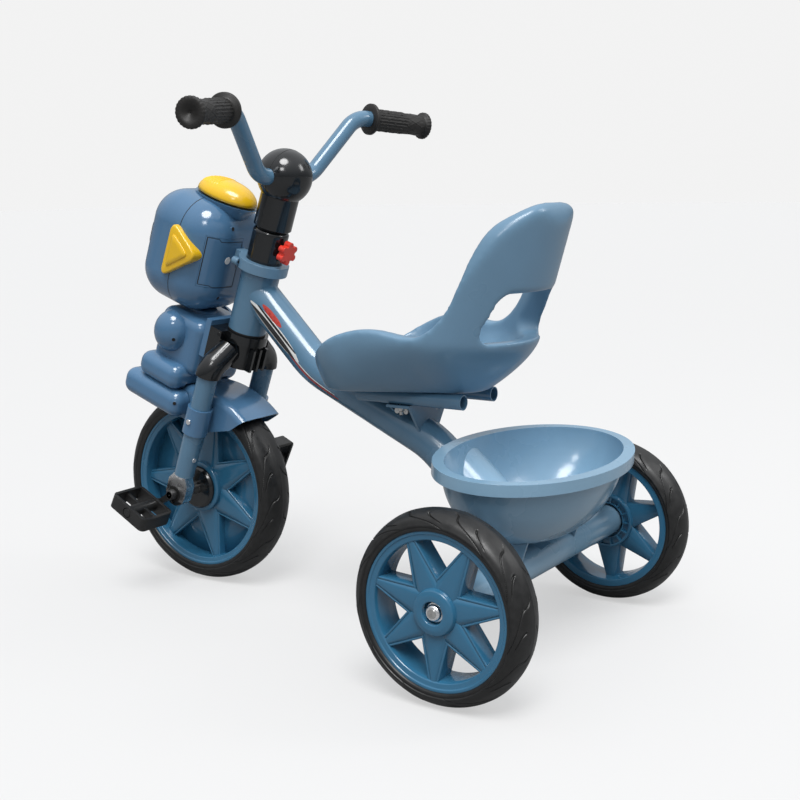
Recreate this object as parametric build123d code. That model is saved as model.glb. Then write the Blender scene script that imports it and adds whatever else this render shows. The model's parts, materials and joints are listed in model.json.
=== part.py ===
from build123d import *
import os
from math import cos, pi, radians, sin, tan

# Children's tricycle, in millimetres.
# +X is forward, +Y is the rider's left, +Z is up, and the ground is z = 0.
# The origin is on the ground, in the middle of the length and of the width.
# The fork, handlebar and music box are drawn in the steering frame: origin at the
# front axle, d forward at right angles to the steering axis, y left, t up the axis.

# ---------------------------------------------------------------- driving sizes
WHEELBASE = 485.0
TRACK = 384.0
RAKE = 20.1

REAR_WHEEL_RADIUS = 100.0
REAR_RIM_RADIUS = 81.0
REAR_TYRE_WIDTH = 45.0
FRONT_WHEEL_RADIUS = 125.0
FRONT_RIM_RADIUS = 104.0
FRONT_TYRE_WIDTH = 50.0
TYRE_CROWN = 11.0
RIM_LIP = 9.5
RIM_INSET = 3.0
SPOKE_COUNT = 7
SPOKE_DEPTH = 24.0
SPOKE_SKIN = 4.0
SPOKE_WALL = 2.4
SPOKE_MEET_RADIUS = 31.0
SPOKE_TIP_HALF = 5.6
FRONT_SPOKE_MEET_RADIUS = 40.0
FRONT_SPOKE_TIP_HALF = 6.6
LEFT_SPOKE_ANGLE = 15.9
RIGHT_SPOKE_ANGLE = 8.4
FRONT_SPOKE_ANGLE = 1.9
HUB_RADIUS = 17.0
HUB_BOSS_RADIUS = 22.0
FRONT_HUB_RADIUS = 33.0
HUB_CAP_RADIUS = 28.0
HUB_CAP_DEPTH = 6.0

AXLE_RADIUS = 5.0
RUNNING_GAP = 0.08
SIDE_GAP = 0.5
BUSH_WALL = 3.0

AXLE_TUBE_RADIUS = 18.5
AXLE_TUBE_WALL = 2.5
MAIN_TUBE_RADIUS = 22.5
MAIN_TUBE_WALL = 2.0
MAIN_TUBE_BEND = 110.0
REAR_KNEE_X = 134.0
REAR_KNEE_Z = 217.0
FRONT_KNEE_X = 300.0
FRONT_KNEE_Z = 293.0
TUBE_TO_HEAD_T = 275.0

HEAD_TUBE_RADIUS = 24.0
HEAD_TUBE_WALL = 3.0
HEAD_TUBE_LOW_T = 222.0
HEAD_TUBE_TOP_T = 298.5
HEAD_BUSH_DEPTH = 12.0
HEAD_BUSH_FLANGE = 2.2

STEERER_RADIUS = 14.0
STEERER_WALL = 2.5
STEERER_LOW_T = 190.0
COLLAR_RADIUS = 22.3
COLLAR_TOP_T = 355.0
STEM_COVER_RADIUS = 23.5
STEM_COVER_WALL = 3.0
CLAMP_BAND_WALL = 9.5
CLAMP_HEIGHT = 13.0
CLAMP_ARM_HALF = 8.0
BALL_RADIUS = 33.5
BALL_WALL = 3.0
BAR_RADIUS = 10.0
BAR_WALL = 2.0
BAR_CENTRE_T = 421.0
BAR_FLAT_HALF = 48.0
BAR_SHOULDER_Y = 115.0
BAR_SHOULDER_D = 3.0
BAR_RISE = 76.0
BAR_END_Y = 217.0
BAR_END_RISE = 3.5
BAR_SWEEP = 31.0
BAR_BEND = 36.0
GRIP_LENGTH = 90.0
GRIP_RADIUS = 13.0
GRIP_END_RADIUS = 17.0
GRIP_FLANGE_RADIUS = 19.5

FORK_HALF_WIDTH = 54.0
LEG_RADIUS = 12.7
LEG_WALL = 2.0
LEG_TOP_Y = 26.0
LEG_TOP_T = 197.0
LEG_KNEE_T = 174.0
LEG_BEND = 25.0
LEG_LOW_T = 26.0
SLEEVE_WALL = 3.5
SLEEVE_LOW_T = 165.0
CROWN_RADIUS = 26.0
CROWN_LOW_T = 176.0
CROWN_PLATE_D = 27.0
CROWN_PLATE_HALF = 38.0
DROPOUT_WIDTH = 32.0
DROPOUT_THICKNESS = 14.0

CRANK_THROW = 28.0
CRANK_ANGLE = -31.0
CRANK_ARM_THICKNESS = 7.0
SPINDLE_RADIUS = 4.0
PEDAL_LENGTH = 62.0
PEDAL_WIDTH = 50.0
PEDAL_THICKNESS = 18.0
PEDAL_TILT = -27.5
RIGHT_PEDAL_TILT = 65.0
PEDAL_WALL = 4.0

GUARD_GAP = 9.0
GUARD_WALL = 3.0
GUARD_HALF_WIDTH = 38.0
GUARD_FRONT_ANGLE = 52.0
GUARD_REAR_ANGLE = 28.0
GUARD_COLLAR_WALL = 3.0
GUARD_COLLAR_LOW_T = 86.0
GUARD_COLLAR_TOP_T = 121.0

BOX_CENTRE_D = 99.5
BOX_CENTRE_T = 291.5
BOX_HALF_D = 59.0
BOX_HALF_Y = 59.0
BOX_HALF_T = 71.5
BOX_CORNER = 41.0
BOX_WALL = 2.5
SEAM_D = 94.0
LAMP_PROUD = 7.0
POD_HALF_WIDTH = 62.0
BUTTON_TRAVEL = 2.5
BUTTON_SEAT = 1.5
BUTTON_SEAT_DROP = 26.0
BUTTON_SEAT_RIM = 2.0
BUTTON_SEAT_FOOT = 22.0
BUTTON_SET_BACK = 20.0
BUTTON_HALF_D = 44.0
BUTTON_HALF_Y = 28.0
BUTTON_HEIGHT = 21.0
BUTTON_WALL = 3.0
BUTTON_RIBS = 6
BUTTON_RIB_PITCH = 4.0
PLUNGER_LENGTH = 24.0
BATTERY_DEPTH = 40.0

SEAT_BOTTOM_Z = 281.0
SEAT_FRONT_X = 248.0
SEAT_HALF_WIDTH = 120.0
SEAT_CORNER = 52.0
SEAT_REAR_ROUND = 58.0
SEAT_SIDE_ROUND = 24.0
SEAT_WALL = 13.0
SEAT_PAN_Z = 312.0
SEAT_WING_Z = 355.0
SEAT_TOP_Z = 491.0
BACK_RADIUS = 97.0
BACK_CENTRE_X = 104.0
BACK_START_Z = 344.0
BACK_LEAN = 0.30
BACK_THICKNESS = 20.0
RAIL_RADIUS = 8.5
RAIL_WALL = 1.2
RAIL_HALF_SPACING = 33.4
RAIL_REAR_X = 72.2
RAIL_LENGTH = 140.0
BRACKET_X = 138.5
BRACKET_LENGTH = 31.0
BRACKET_PLATE = 3.0
BRACKET_FOOT = 18.0

BASKET_RIM_Z = 219.5
BASKET_DEPTH = 89.0
BASKET_HALF_LENGTH = 93.5
BASKET_HALF_WIDTH = 154.5
BASKET_WALL = 3.0
BASKET_RIM_WIDTH = 10.0
BASKET_SKIRT = 13.0
BASKET_CENTRE_X = 0.0
BASKET_PITCH = 4.5
TUNNEL_GAP = 8.0

# ---------------------------------------------------------------- derived places
REAR_AXLE_X = -(WHEELBASE + FRONT_WHEEL_RADIUS - REAR_WHEEL_RADIUS) / 2
FRONT_AXLE_X = REAR_AXLE_X + WHEELBASE
STEER = Location((FRONT_AXLE_X, 0, FRONT_WHEEL_RADIUS), (0, -RAKE, 0))
GUARD_RADIUS = FRONT_WHEEL_RADIUS + GUARD_GAP + GUARD_WALL
DROPOUT_OUTER_Y = FORK_HALF_WIDTH + DROPOUT_THICKNESS / 2 + 2
DROPOUT_INNER_Y = DROPOUT_OUTER_Y - DROPOUT_THICKNESS
BUSH_FLANGE = 2.0
ARM_INNER_Y = max(DROPOUT_OUTER_Y + BUSH_FLANGE, FORK_HALF_WIDTH + LEG_RADIUS) + SIDE_GAP
ARM_OUTER_Y = ARM_INNER_Y + CRANK_ARM_THICKNESS
PEDAL_INNER_Y = ARM_OUTER_Y + 2 * SIDE_GAP
PEDAL_OUTER_Y = PEDAL_INNER_Y + PEDAL_WIDTH
COLLAR_LOW_T = HEAD_TUBE_TOP_T + HEAD_BUSH_FLANGE + SIDE_GAP
CROWN_TOP_T = HEAD_TUBE_LOW_T - HEAD_BUSH_FLANGE - SIDE_GAP
BOX_REAR_D = BOX_CENTRE_D - BOX_HALF_D
BOX_FRONT_D = BOX_CENTRE_D + BOX_HALF_D
BOX_LOW_T = BOX_CENTRE_T - BOX_HALF_T
BOX_TOP_T = BOX_CENTRE_T + BOX_HALF_T
BUTTON_D = BOX_CENTRE_D - BUTTON_SET_BACK
KNOB_T = COLLAR_TOP_T - 20.0
BUTTON_BASE_T = BOX_TOP_T + BUTTON_SEAT + BUTTON_TRAVEL + SIDE_GAP
RAIL_Z = SEAT_BOTTOM_Z - RAIL_RADIUS
HUB_INNER = 3.0
HUB_FACE = REAR_TYRE_WIDTH / 2
HUB_RECESS = 8.0
FRONT_HUB_HALF = FRONT_TYRE_WIDTH / 2 - 5
AXLE_TUBE_END = TRACK / 2 - HUB_INNER - SIDE_GAP - BUSH_FLANGE


# ---------------------------------------------------------------- shared helpers
def disc(radius, y_low, y_high):
    """A solid disc about the Y axis, from y_low to y_high."""
    return Pos(0, (y_low + y_high) / 2, 0) * Rot(90, 0, 0) * Cylinder(radius, y_high - y_low)


def ring(outer, inner, y_low, y_high):
    """A ring about the Y axis."""
    return disc(outer, y_low, y_high) - disc(inner, y_low - 1, y_high + 1)


def post(radius, low, high):
    """An upright cylinder from height low to height high."""
    return Pos(0, 0, (low + high) / 2) * Cylinder(radius, high - low)


def pipe(radius, wall, low, high):
    """An upright tube."""
    return post(radius, low, high) - post(radius - wall, low - 1, high + 1)


def block(x_low, x_high, y_low, y_high, z_low, z_high):
    """A box between two corners."""
    middle = Pos((x_low + x_high) / 2, (y_low + y_high) / 2, (z_low + z_high) / 2)
    return middle * Box(x_high - x_low, y_high - y_low, z_high - z_low)


def side_prism(points, y_low, y_high):
    """A prism with the outline points (x, z), from y_low to y_high."""
    outline = make_face(Polyline(*[(x, y_low, z) for x, z in points], close=True))
    return extrude(outline, amount=y_high - y_low, dir=(0, 1, 0))


def swept(path, radius):
    """A solid round bar along a path."""
    start = Plane(origin=path @ 0, z_dir=path % 0)
    return sweep(start * Circle(radius), path=path)


def both_sides(solid):
    """A solid and its mirror image on the other side of the machine."""
    return [solid, mirror(solid, about=Plane.XZ)]


def save(name, *solids):
    """Write one piece, or a group of like pieces, as parts/NAME.step."""
    shape = solids[0] if len(solids) == 1 else Compound(children=list(solids))
    export_step(shape, f"parts/{name}.step")


# ---------------------------------------------------------------- wheels
def tyre(radius, rim_radius, width):
    """A solid tyre about the Y axis, seated on the rim."""
    bead = width / 2 - RIM_INSET / 2
    shoulder = radius - TYRE_CROWN
    wall = Polyline((shoulder, width / 2), (rim_radius, bead), (rim_radius, -bead), (shoulder, -width / 2))
    crown = ThreePointArc((shoulder, -width / 2), (radius, 0), (shoulder, width / 2))
    return revolve(make_face(wall + crown), axis=Axis.Y)


def spoke(rim_radius, face_y, meet_radius, tip_half):
    """One spoke along +X, hollow from behind; neighbouring spokes meet at meet_radius."""
    root, tip = HUB_RADIUS - 2, rim_radius - RIM_LIP + 2
    meet_half = meet_radius * tan(pi / SPOKE_COUNT)
    root_half = tip_half + (meet_half - tip_half) * (tip - root) / (tip - meet_radius)

    def wedge(inset, y_low, y_high):
        outline = [(root, root_half - inset), (tip, tip_half - inset)]
        outline += [(tip, inset - tip_half), (root, inset - root_half)]
        return side_prism(outline, y_low, y_high)

    back_y = face_y - SPOKE_DEPTH
    return wedge(0, back_y, face_y) - wedge(SPOKE_WALL, back_y - 1, face_y - SPOKE_SKIN)


def rim(rim_radius, width, face_y, hub, one_spoke, first_angle):
    """A spoked rim about the Y axis, around the given hub solid, with its first spoke at first_angle."""
    edge = width / 2 - RIM_INSET
    wheel = ring(rim_radius, rim_radius - RIM_LIP, -edge, edge)
    wheel -= ring(rim_radius - 2.5, rim_radius - RIM_LIP - 1, -edge - 1, face_y - SPOKE_DEPTH)
    for index in range(SPOKE_COUNT):
        wheel += Rot(0, 360 * index / SPOKE_COUNT - first_angle, 0) * one_spoke
    wheel -= disc(AXLE_TUBE_RADIUS + 2, -width, -HUB_INNER)
    return wheel - disc(HUB_RADIUS, -width, width) + hub


def rear_wheel(first_angle):
    """Rim, tyre and bush of a rear wheel, centred on the origin, outer face +Y."""
    bush_radius = AXLE_RADIUS + BUSH_WALL
    face_y = REAR_TYRE_WIDTH / 2 - RIM_INSET - 3
    boss_start = face_y - 4
    boss_length = HUB_FACE - boss_start
    boss = Pos(0, (boss_start + HUB_FACE) / 2, 0) * Rot(-90, 0, 0)
    boss *= Cone(HUB_BOSS_RADIUS + 2, HUB_BOSS_RADIUS - 5, boss_length)
    hub = disc(HUB_RADIUS, -HUB_INNER, HUB_FACE) + boss
    hub -= disc(HUB_RADIUS - 6, HUB_FACE - HUB_RECESS, HUB_FACE + 1)
    hub -= disc(bush_radius, -HUB_FACE, HUB_FACE)
    one_spoke = spoke(REAR_RIM_RADIUS, face_y, SPOKE_MEET_RADIUS, SPOKE_TIP_HALF)
    wheel = rim(REAR_RIM_RADIUS, REAR_TYRE_WIDTH, face_y, hub, one_spoke, first_angle)
    rubber = tyre(REAR_WHEEL_RADIUS, REAR_RIM_RADIUS, REAR_TYRE_WIDTH)
    rubber -= disc(REAR_RIM_RADIUS, -REAR_TYRE_WIDTH, REAR_TYRE_WIDTH)
    bush = ring(bush_radius, AXLE_RADIUS + RUNNING_GAP, -HUB_INNER, HUB_FACE - HUB_RECESS)
    return wheel, rubber, bush


def front_wheel():
    """Rim, tyre and hub caps of the front wheel, centred on the origin."""
    hub = ring(FRONT_HUB_RADIUS, AXLE_RADIUS, -FRONT_HUB_HALF, FRONT_HUB_HALF)
    hollow = ring(FRONT_HUB_RADIUS - 4, HUB_RADIUS - 4, -FRONT_HUB_HALF + 5, FRONT_HUB_HALF - 5)
    one_spoke = spoke(FRONT_RIM_RADIUS, SPOKE_DEPTH / 2, FRONT_SPOKE_MEET_RADIUS, FRONT_SPOKE_TIP_HALF)
    wheel = rim(FRONT_RIM_RADIUS, FRONT_TYRE_WIDTH, SPOKE_DEPTH / 2, hub - hollow, one_spoke, FRONT_SPOKE_ANGLE)
    rubber = tyre(FRONT_WHEEL_RADIUS, FRONT_RIM_RADIUS, FRONT_TYRE_WIDTH)
    rubber -= disc(FRONT_RIM_RADIUS, -FRONT_TYRE_WIDTH, FRONT_TYRE_WIDTH)
    cap = disc(HUB_CAP_RADIUS, FRONT_HUB_HALF, FRONT_HUB_HALF + HUB_CAP_DEPTH)
    cap = chamfer(cap.edges().sort_by(Axis.Y)[-1], HUB_CAP_DEPTH / 2)
    cap -= disc(AXLE_RADIUS, 0, FRONT_TYRE_WIDTH)
    return wheel, rubber, both_sides(cap)


# ---------------------------------------------------------------- rear frame
def main_tube_path():
    """Centre line of the main tube, from the head tube back to the rear axle."""
    top = (STEER * Pos(0, 0, TUBE_TO_HEAD_T)).position
    points = [(top.X, 0, top.Z)]
    points.append((REAR_AXLE_X + FRONT_KNEE_X, 0, FRONT_KNEE_Z))
    points.append((REAR_AXLE_X + REAR_KNEE_X, 0, REAR_KNEE_Z))
    points.append((REAR_AXLE_X, 0, REAR_WHEEL_RADIUS))
    return FilletPolyline(*points, radius=MAIN_TUBE_BEND)


def head_tube_hull():
    """The head tube as a solid bar."""
    return STEER * post(HEAD_TUBE_RADIUS, HEAD_TUBE_LOW_T, HEAD_TUBE_TOP_T)


def axle_tube_hull():
    """The rear axle tube as a solid bar."""
    return Pos(REAR_AXLE_X, 0, REAR_WHEEL_RADIUS) * disc(AXLE_TUBE_RADIUS, -AXLE_TUBE_END, AXLE_TUBE_END)


def main_tube():
    """The bent main tube, coped to the head tube and the axle tube."""
    path = main_tube_path()
    tube = swept(path, MAIN_TUBE_RADIUS) - swept(path, MAIN_TUBE_RADIUS - MAIN_TUBE_WALL)
    tube = tube - head_tube_hull() - axle_tube_hull()
    return max(tube.solids(), key=lambda solid: solid.volume)


def head_tube():
    """The head tube, open for the steerer."""
    return STEER * pipe(HEAD_TUBE_RADIUS, HEAD_TUBE_WALL, HEAD_TUBE_LOW_T, HEAD_TUBE_TOP_T)


def head_bushes():
    """The flanged plastic bushes at the two ends of the head tube."""
    bore = STEERER_RADIUS + RUNNING_GAP
    barrel = HEAD_TUBE_RADIUS - HEAD_TUBE_WALL
    low, top = HEAD_TUBE_LOW_T, HEAD_TUBE_TOP_T
    lower = post(barrel, low, low + HEAD_BUSH_DEPTH) + post(HEAD_TUBE_RADIUS, low - HEAD_BUSH_FLANGE, low)
    upper = post(barrel, top - HEAD_BUSH_DEPTH, top) + post(HEAD_TUBE_RADIUS, top, top + HEAD_BUSH_FLANGE)
    hole = post(bore, low - 10, top + 10)
    return [STEER * (lower - hole), STEER * (upper - hole)]


def rear_axle_tube():
    """The cross tube that carries the rear axle."""
    tube = ring(AXLE_TUBE_RADIUS, AXLE_TUBE_RADIUS - AXLE_TUBE_WALL, -AXLE_TUBE_END, AXLE_TUBE_END)
    return Pos(REAR_AXLE_X, 0, REAR_WHEEL_RADIUS) * tube


def axle_bushes():
    """The plugs at the ends of the axle tube that hold the axle."""
    inner = AXLE_TUBE_RADIUS - AXLE_TUBE_WALL
    plug = disc(inner, AXLE_TUBE_END - 18, AXLE_TUBE_END)
    plug += disc(AXLE_TUBE_RADIUS, AXLE_TUBE_END, AXLE_TUBE_END + BUSH_FLANGE)
    plug -= disc(AXLE_RADIUS, 0, TRACK)
    return [Pos(REAR_AXLE_X, 0, REAR_WHEEL_RADIUS) * item for item in both_sides(plug)]


def rear_axle_set():
    """The rear axle, its washers and its lock nuts."""
    place = Pos(REAR_AXLE_X, 0, REAR_WHEEL_RADIUS)
    seat = TRACK / 2 + HUB_FACE - HUB_RECESS + SIDE_GAP
    rod = disc(AXLE_RADIUS, -seat - 9, seat + 9)
    washer = ring(AXLE_RADIUS + 5, AXLE_RADIUS, seat, seat + 1.2)
    nut = Pos(0, seat + 1.2, 0) * Rot(-90, 0, 0) * extrude(RegularPolygon(8.5, 6), amount=6)
    nut -= disc(AXLE_RADIUS, 0, TRACK)
    washers = [place * item for item in both_sides(washer)]
    nuts = [place * item for item in both_sides(nut)]
    return place * rod, washers, nuts


# ---------------------------------------------------------------- seat
def seat_plan(half, back, front, corner):
    """Plan outline of the seat tub: a round back of radius back and a front with round corners."""
    centre = REAR_AXLE_X + BACK_CENTRE_X
    sides = make_face(Polyline((centre, -back), (front, -half), (front, half), (centre, back), close=True))
    sides = fillet(sides.vertices().group_by(Axis.X)[-1], corner)
    return sides + Pos(centre, 0) * Circle(back)


def seat_side_limit():
    """Side outline of the whole seat: wings, backrest edges and the rounded underside."""
    x, low, top, wing = REAR_AXLE_X, SEAT_BOTTOM_Z, SEAT_TOP_Z, SEAT_WING_Z
    front = x + SEAT_FRONT_X
    rear = x + BACK_CENTRE_X - BACK_RADIUS
    lip = (front, low + 22)
    crest = (x + 2, top - 7)
    peak = (x - 18, top)
    tip = (rear - BACK_LEAN * (top - 24 - BACK_START_Z), top - 24)
    base = Polyline((rear + 100, low), (front - 22, low))
    chin = ThreePointArc((front - 22, low), (front - 6, low + 7), lip)
    wings = Spline(lip, (x + 217, wing - 21), (x + 180, wing - 3), (x + 140, wing), (x + 95, wing - 5),
                   (x + 72, wing + 9), (x + 25, top - 32), crest)
    crown = Spline(crest, peak, tip)
    back = Line(tip, (rear, BACK_START_Z))
    under = Polyline((rear, BACK_START_Z), (rear, low), (rear + 100, low))
    outline = make_face(base + chin + wings + crown + back + under)
    return extrude(Plane.XZ * outline, amount=2 * SEAT_HALF_WIDTH, both=True)


def seat_front_limit():
    """Front outline of the seat: wide wings and a backrest that narrows to a round top."""
    half, top, wing = SEAT_HALF_WIDTH + 1, SEAT_TOP_Z, SEAT_WING_Z
    arch = [(BACK_RADIUS - 21, top - 44), (BACK_RADIUS - 39, top - 17), (BACK_RADIUS - 68, top - 2), (0, top + 1)]
    side = [(half, SEAT_BOTTOM_Z - 5), (half, wing - 2), (BACK_RADIUS + 1, wing + 10), arch[0]]
    mirrored = [(-y, z) for y, z in reversed(side)]
    crown = Spline(*arch, *[(-y, z) for y, z in reversed(arch[:-1])])
    outline = make_face(Polyline(*side) + crown + Polyline(*mirrored) + Line(mirrored[-1], side[0]))
    return extrude(Plane.YZ * outline, amount=3 * SEAT_FRONT_X, both=True)


def leaning_bar(radius, start_z):
    """An upright bar that leans back with the backrest, from height start_z to above the top."""
    centre = REAR_AXLE_X + BACK_CENTRE_X - BACK_LEAN * (start_z - BACK_START_Z)
    lean = Vector(-BACK_LEAN, 0, 1)
    return extrude(Pos(centre, 0, start_z) * Circle(radius), amount=(SEAT_TOP_Z + 10 - start_z) * lean.length,
                   dir=lean.normalized())


def seat_window():
    """The hand hole in the backrest, as a block through it."""
    low, high = (BACK_RADIUS - 27, BACK_START_Z - 2), (BACK_RADIUS - 43, BACK_START_Z + 50)
    outline = make_face(Polyline(low, high, (-high[0], high[1]), (-low[0], low[1]), close=True))
    outline = fillet(outline.vertices(), 12)
    return extrude(Plane.YZ.offset(REAR_AXLE_X - 60) * outline, amount=130)


def tub_section(height, wall, back_wall):
    """Plan of the seat tub at a height, thinned by the walls; it draws in towards the bottom."""
    depth = max(BACK_START_Z - height, 0) / (BACK_START_Z - SEAT_BOTTOM_Z)
    rear = SEAT_REAR_ROUND * depth ** 1.6
    side = SEAT_SIDE_ROUND * depth ** 6
    front = REAR_AXLE_X + SEAT_FRONT_X - wall
    corner = SEAT_CORNER - wall / 2 - side / 2
    return Pos(0, 0, height) * seat_plan(SEAT_HALF_WIDTH - side - wall, BACK_RADIUS - rear - back_wall, front, corner)


def tub(low, high, wall, back_wall):
    """The seat tub as a solid from height low to height high, upright above the start of the back."""
    run = BACK_START_Z - low
    heights = [low, low + 0.08 * run, low + 0.24 * run, low + 0.45 * run, low + 0.7 * run, BACK_START_Z]
    bowl_part = loft([tub_section(height, wall, back_wall) for height in heights])
    return bowl_part + extrude(tub_section(BACK_START_Z, wall, back_wall), amount=high - BACK_START_Z)


def seat():
    """The one-piece moulded seat, with wings, a leaning back and a hand hole in it."""
    body = tub(SEAT_BOTTOM_Z, SEAT_WING_Z + 10, 0, 0) + leaning_bar(BACK_RADIUS, BACK_START_Z)
    body = body & seat_side_limit() & seat_front_limit()
    body -= tub(SEAT_PAN_Z, SEAT_TOP_Z, SEAT_WALL, BACK_THICKNESS)
    body -= leaning_bar(BACK_RADIUS - BACK_THICKNESS, BACK_START_Z)
    body -= seat_window()
    body -= swept(main_tube_path(), MAIN_TUBE_RADIUS + 1)
    return max(body.solids(), key=lambda solid: solid.volume)


def seat_rails():
    """The two short tubes under the seat; their open rear ends take a push bar."""
    rail = Pos(REAR_AXLE_X + RAIL_REAR_X + RAIL_LENGTH / 2, RAIL_HALF_SPACING, RAIL_Z)
    rail *= Rot(0, 90, 0) * (Cylinder(RAIL_RADIUS, RAIL_LENGTH) - Cylinder(RAIL_RADIUS - RAIL_WALL, RAIL_LENGTH))
    return both_sides(rail)


def bracket_web(x_low, z_low):
    """A tapered plate across the machine, from the flange down to height z_low."""
    wide, top = RAIL_HALF_SPACING + RAIL_RADIUS, RAIL_Z - RAIL_RADIUS
    corners = [(-wide, top), (wide, top), (BRACKET_FOOT, z_low), (-BRACKET_FOOT, z_low)]
    outline = make_face(Polyline(*corners, close=True))
    return extrude(Plane.YZ.offset(x_low) * outline, amount=BRACKET_PLATE)


def seat_bracket():
    """The folded saddle between the main tube and the rails: a flange and two tapered webs."""
    x = REAR_AXLE_X + BRACKET_X
    wide, top = RAIL_HALF_SPACING + RAIL_RADIUS, RAIL_Z - RAIL_RADIUS
    bracket = block(x, x + BRACKET_LENGTH, -wide, wide, top - BRACKET_PLATE, top)
    bracket += bracket_web(x, REAR_KNEE_Z + 12)
    bracket += bracket_web(x + BRACKET_LENGTH - BRACKET_PLATE, REAR_KNEE_Z + 30)
    bracket -= swept(main_tube_path(), MAIN_TUBE_RADIUS)
    for bolt in seat_bolts():
        bracket -= bolt
    return max(bracket.solids(), key=lambda solid: solid.volume)


def seat_bolts():
    """The two wing bolts up through the bracket's flange."""
    top = RAIL_Z - RAIL_RADIUS
    bolt = post(3, top - 12, top) + post(6, top - BRACKET_PLATE - 3, top - BRACKET_PLATE)
    bolt += block(-10, 10, -1.5, 1.5, top - 16, top - BRACKET_PLATE - 3)
    return both_sides(Pos(REAR_AXLE_X + BRACKET_X + BRACKET_LENGTH / 2, RAIL_HALF_SPACING, 0) * bolt)


# ---------------------------------------------------------------- basket
def basket_place():
    """The basket's own frame: origin at the middle of the rim's top face, front tipped up."""
    return Pos(REAR_AXLE_X + BASKET_CENTRE_X, 0, BASKET_RIM_Z) * Rot(0, -BASKET_PITCH, 0)


def bowl(inset):
    """The rounded bowl as a solid, inset all over, with its mouth at the rim."""
    mouth_x = BASKET_HALF_LENGTH - BASKET_RIM_WIDTH - inset
    mouth_y = BASKET_HALF_WIDTH - BASKET_RIM_WIDTH - inset
    depth = BASKET_DEPTH - inset
    sections = []
    for angle in (0.0, 20.0, 40.0, 58.0, 72.0):
        share = cos(radians(angle)) ** 0.8
        sections.append(Pos(0, 0, -depth * sin(radians(angle)) / sin(radians(72))) *
                        Ellipse(mouth_x * share, mouth_y * share))
    return basket_place() * loft(sections)


def tunnel(radius):
    """A bar along the lowest run of the main tube."""
    low = Vector(REAR_AXLE_X, 0, REAR_WHEEL_RADIUS)
    high = Vector(REAR_AXLE_X + REAR_KNEE_X, 0, REAR_KNEE_Z)
    run = high - low
    base = Plane(origin=low - run * 0.25, z_dir=run)
    return extrude(base * Circle(radius), amount=run.length * 1.2)


def basket():
    """The open basket behind the seat, with a tunnel over the main tube."""
    clear = MAIN_TUBE_RADIUS + TUNNEL_GAP
    full = Ellipse(BASKET_HALF_LENGTH, BASKET_HALF_WIDTH)
    inner = Ellipse(BASKET_HALF_LENGTH - BASKET_WALL, BASKET_HALF_WIDTH - BASKET_WALL)
    lid = extrude(Pos(0, 0, -BASKET_WALL) * full, amount=BASKET_WALL)
    skirt = extrude(Pos(0, 0, -BASKET_SKIRT) * (full - inner), amount=BASKET_SKIRT)
    hump = bowl(0) & tunnel(clear + BASKET_WALL)
    shell = bowl(0) + basket_place() * (lid + skirt)
    shell = shell - bowl(BASKET_WALL) + hump - tunnel(clear)
    return max(shell.solids(), key=lambda solid: solid.volume)


def basket_brackets():
    """Folded plates that carry the basket on the axle tube."""
    x, z = REAR_AXLE_X, REAR_WHEEL_RADIUS
    top = BASKET_RIM_Z - BASKET_DEPTH + 25
    outline = [(x - 12, z), (x + 12, z), (x + 30, top), (x - 30, top)]
    plate = side_prism(outline, 62, 65) - axle_tube_hull() - bowl(0)
    plate = min(plate.solids(), key=lambda solid: abs(solid.center().Z - z - 30))
    return both_sides(plate)


# ---------------------------------------------------------------- fork and steering
def leg_path():
    """Centre line of the left fork leg, from the crown down."""
    points = [(0, LEG_TOP_Y, LEG_TOP_T), (0, FORK_HALF_WIDTH, LEG_KNEE_T), (0, FORK_HALF_WIDTH, LEG_LOW_T)]
    return FilletPolyline(*points, radius=LEG_BEND)


def fork_screws():
    """Pan-head screws through the mudguard collars and at the feet of the legs."""
    face = FORK_HALF_WIDTH + LEG_RADIUS + GUARD_COLLAR_WALL
    collar_t = (GUARD_COLLAR_LOW_T + GUARD_COLLAR_TOP_T) / 2
    upper = disc(3.5, face - 1.5, face + 1.5) + disc(2, face - 10, face)
    lower = disc(3, LEG_RADIUS - 1.5, LEG_RADIUS + 1.5) + disc(2, LEG_RADIUS - 10, LEG_RADIUS)
    lower = Pos(0, FORK_HALF_WIDTH, LEG_LOW_T + 27) * Rot(0, 0, 75) * lower
    return both_sides(Pos(0, 0, collar_t) * upper) + both_sides(lower)


def fork_leg():
    """The left fork leg."""
    path = leg_path()
    leg = swept(path, LEG_RADIUS) - swept(path, LEG_RADIUS - LEG_WALL)
    for screw in fork_screws():
        leg -= screw
    return leg


def fork_crown():
    """The moulded crown: a drum under the head tube, two sleeves and a front plate."""
    crown = post(CROWN_RADIUS, CROWN_LOW_T, CROWN_TOP_T)
    crown += post(CROWN_RADIUS + 2, CROWN_TOP_T - 12, CROWN_TOP_T)
    sleeve = swept(leg_path(), LEG_RADIUS + SLEEVE_WALL) - block(-60, 60, 0, 100, 0, SLEEVE_LOW_T)
    for side in both_sides(sleeve):
        crown += side
    crown += block(8, CROWN_PLATE_D, -CROWN_PLATE_HALF, CROWN_PLATE_HALF, CROWN_LOW_T, CROWN_TOP_T)
    for y in (-12.0, 0.0, 12.0):
        crown += block(-CROWN_RADIUS - 4, -10, y - 2, y + 2, CROWN_LOW_T, CROWN_TOP_T - 14)
    crown -= block(-60, 60, -60, 60, CROWN_TOP_T, CROWN_TOP_T + 40)
    crown -= block(CROWN_PLATE_D, CROWN_PLATE_D + 20, -60, 60, CROWN_LOW_T - 20, CROWN_TOP_T + 40)
    for side in both_sides(swept(leg_path(), LEG_RADIUS)):
        crown -= side
    crown -= post(STEERER_RADIUS, STEERER_LOW_T, CROWN_TOP_T + 1)
    return max(crown.solids(), key=lambda solid: solid.volume)


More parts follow.
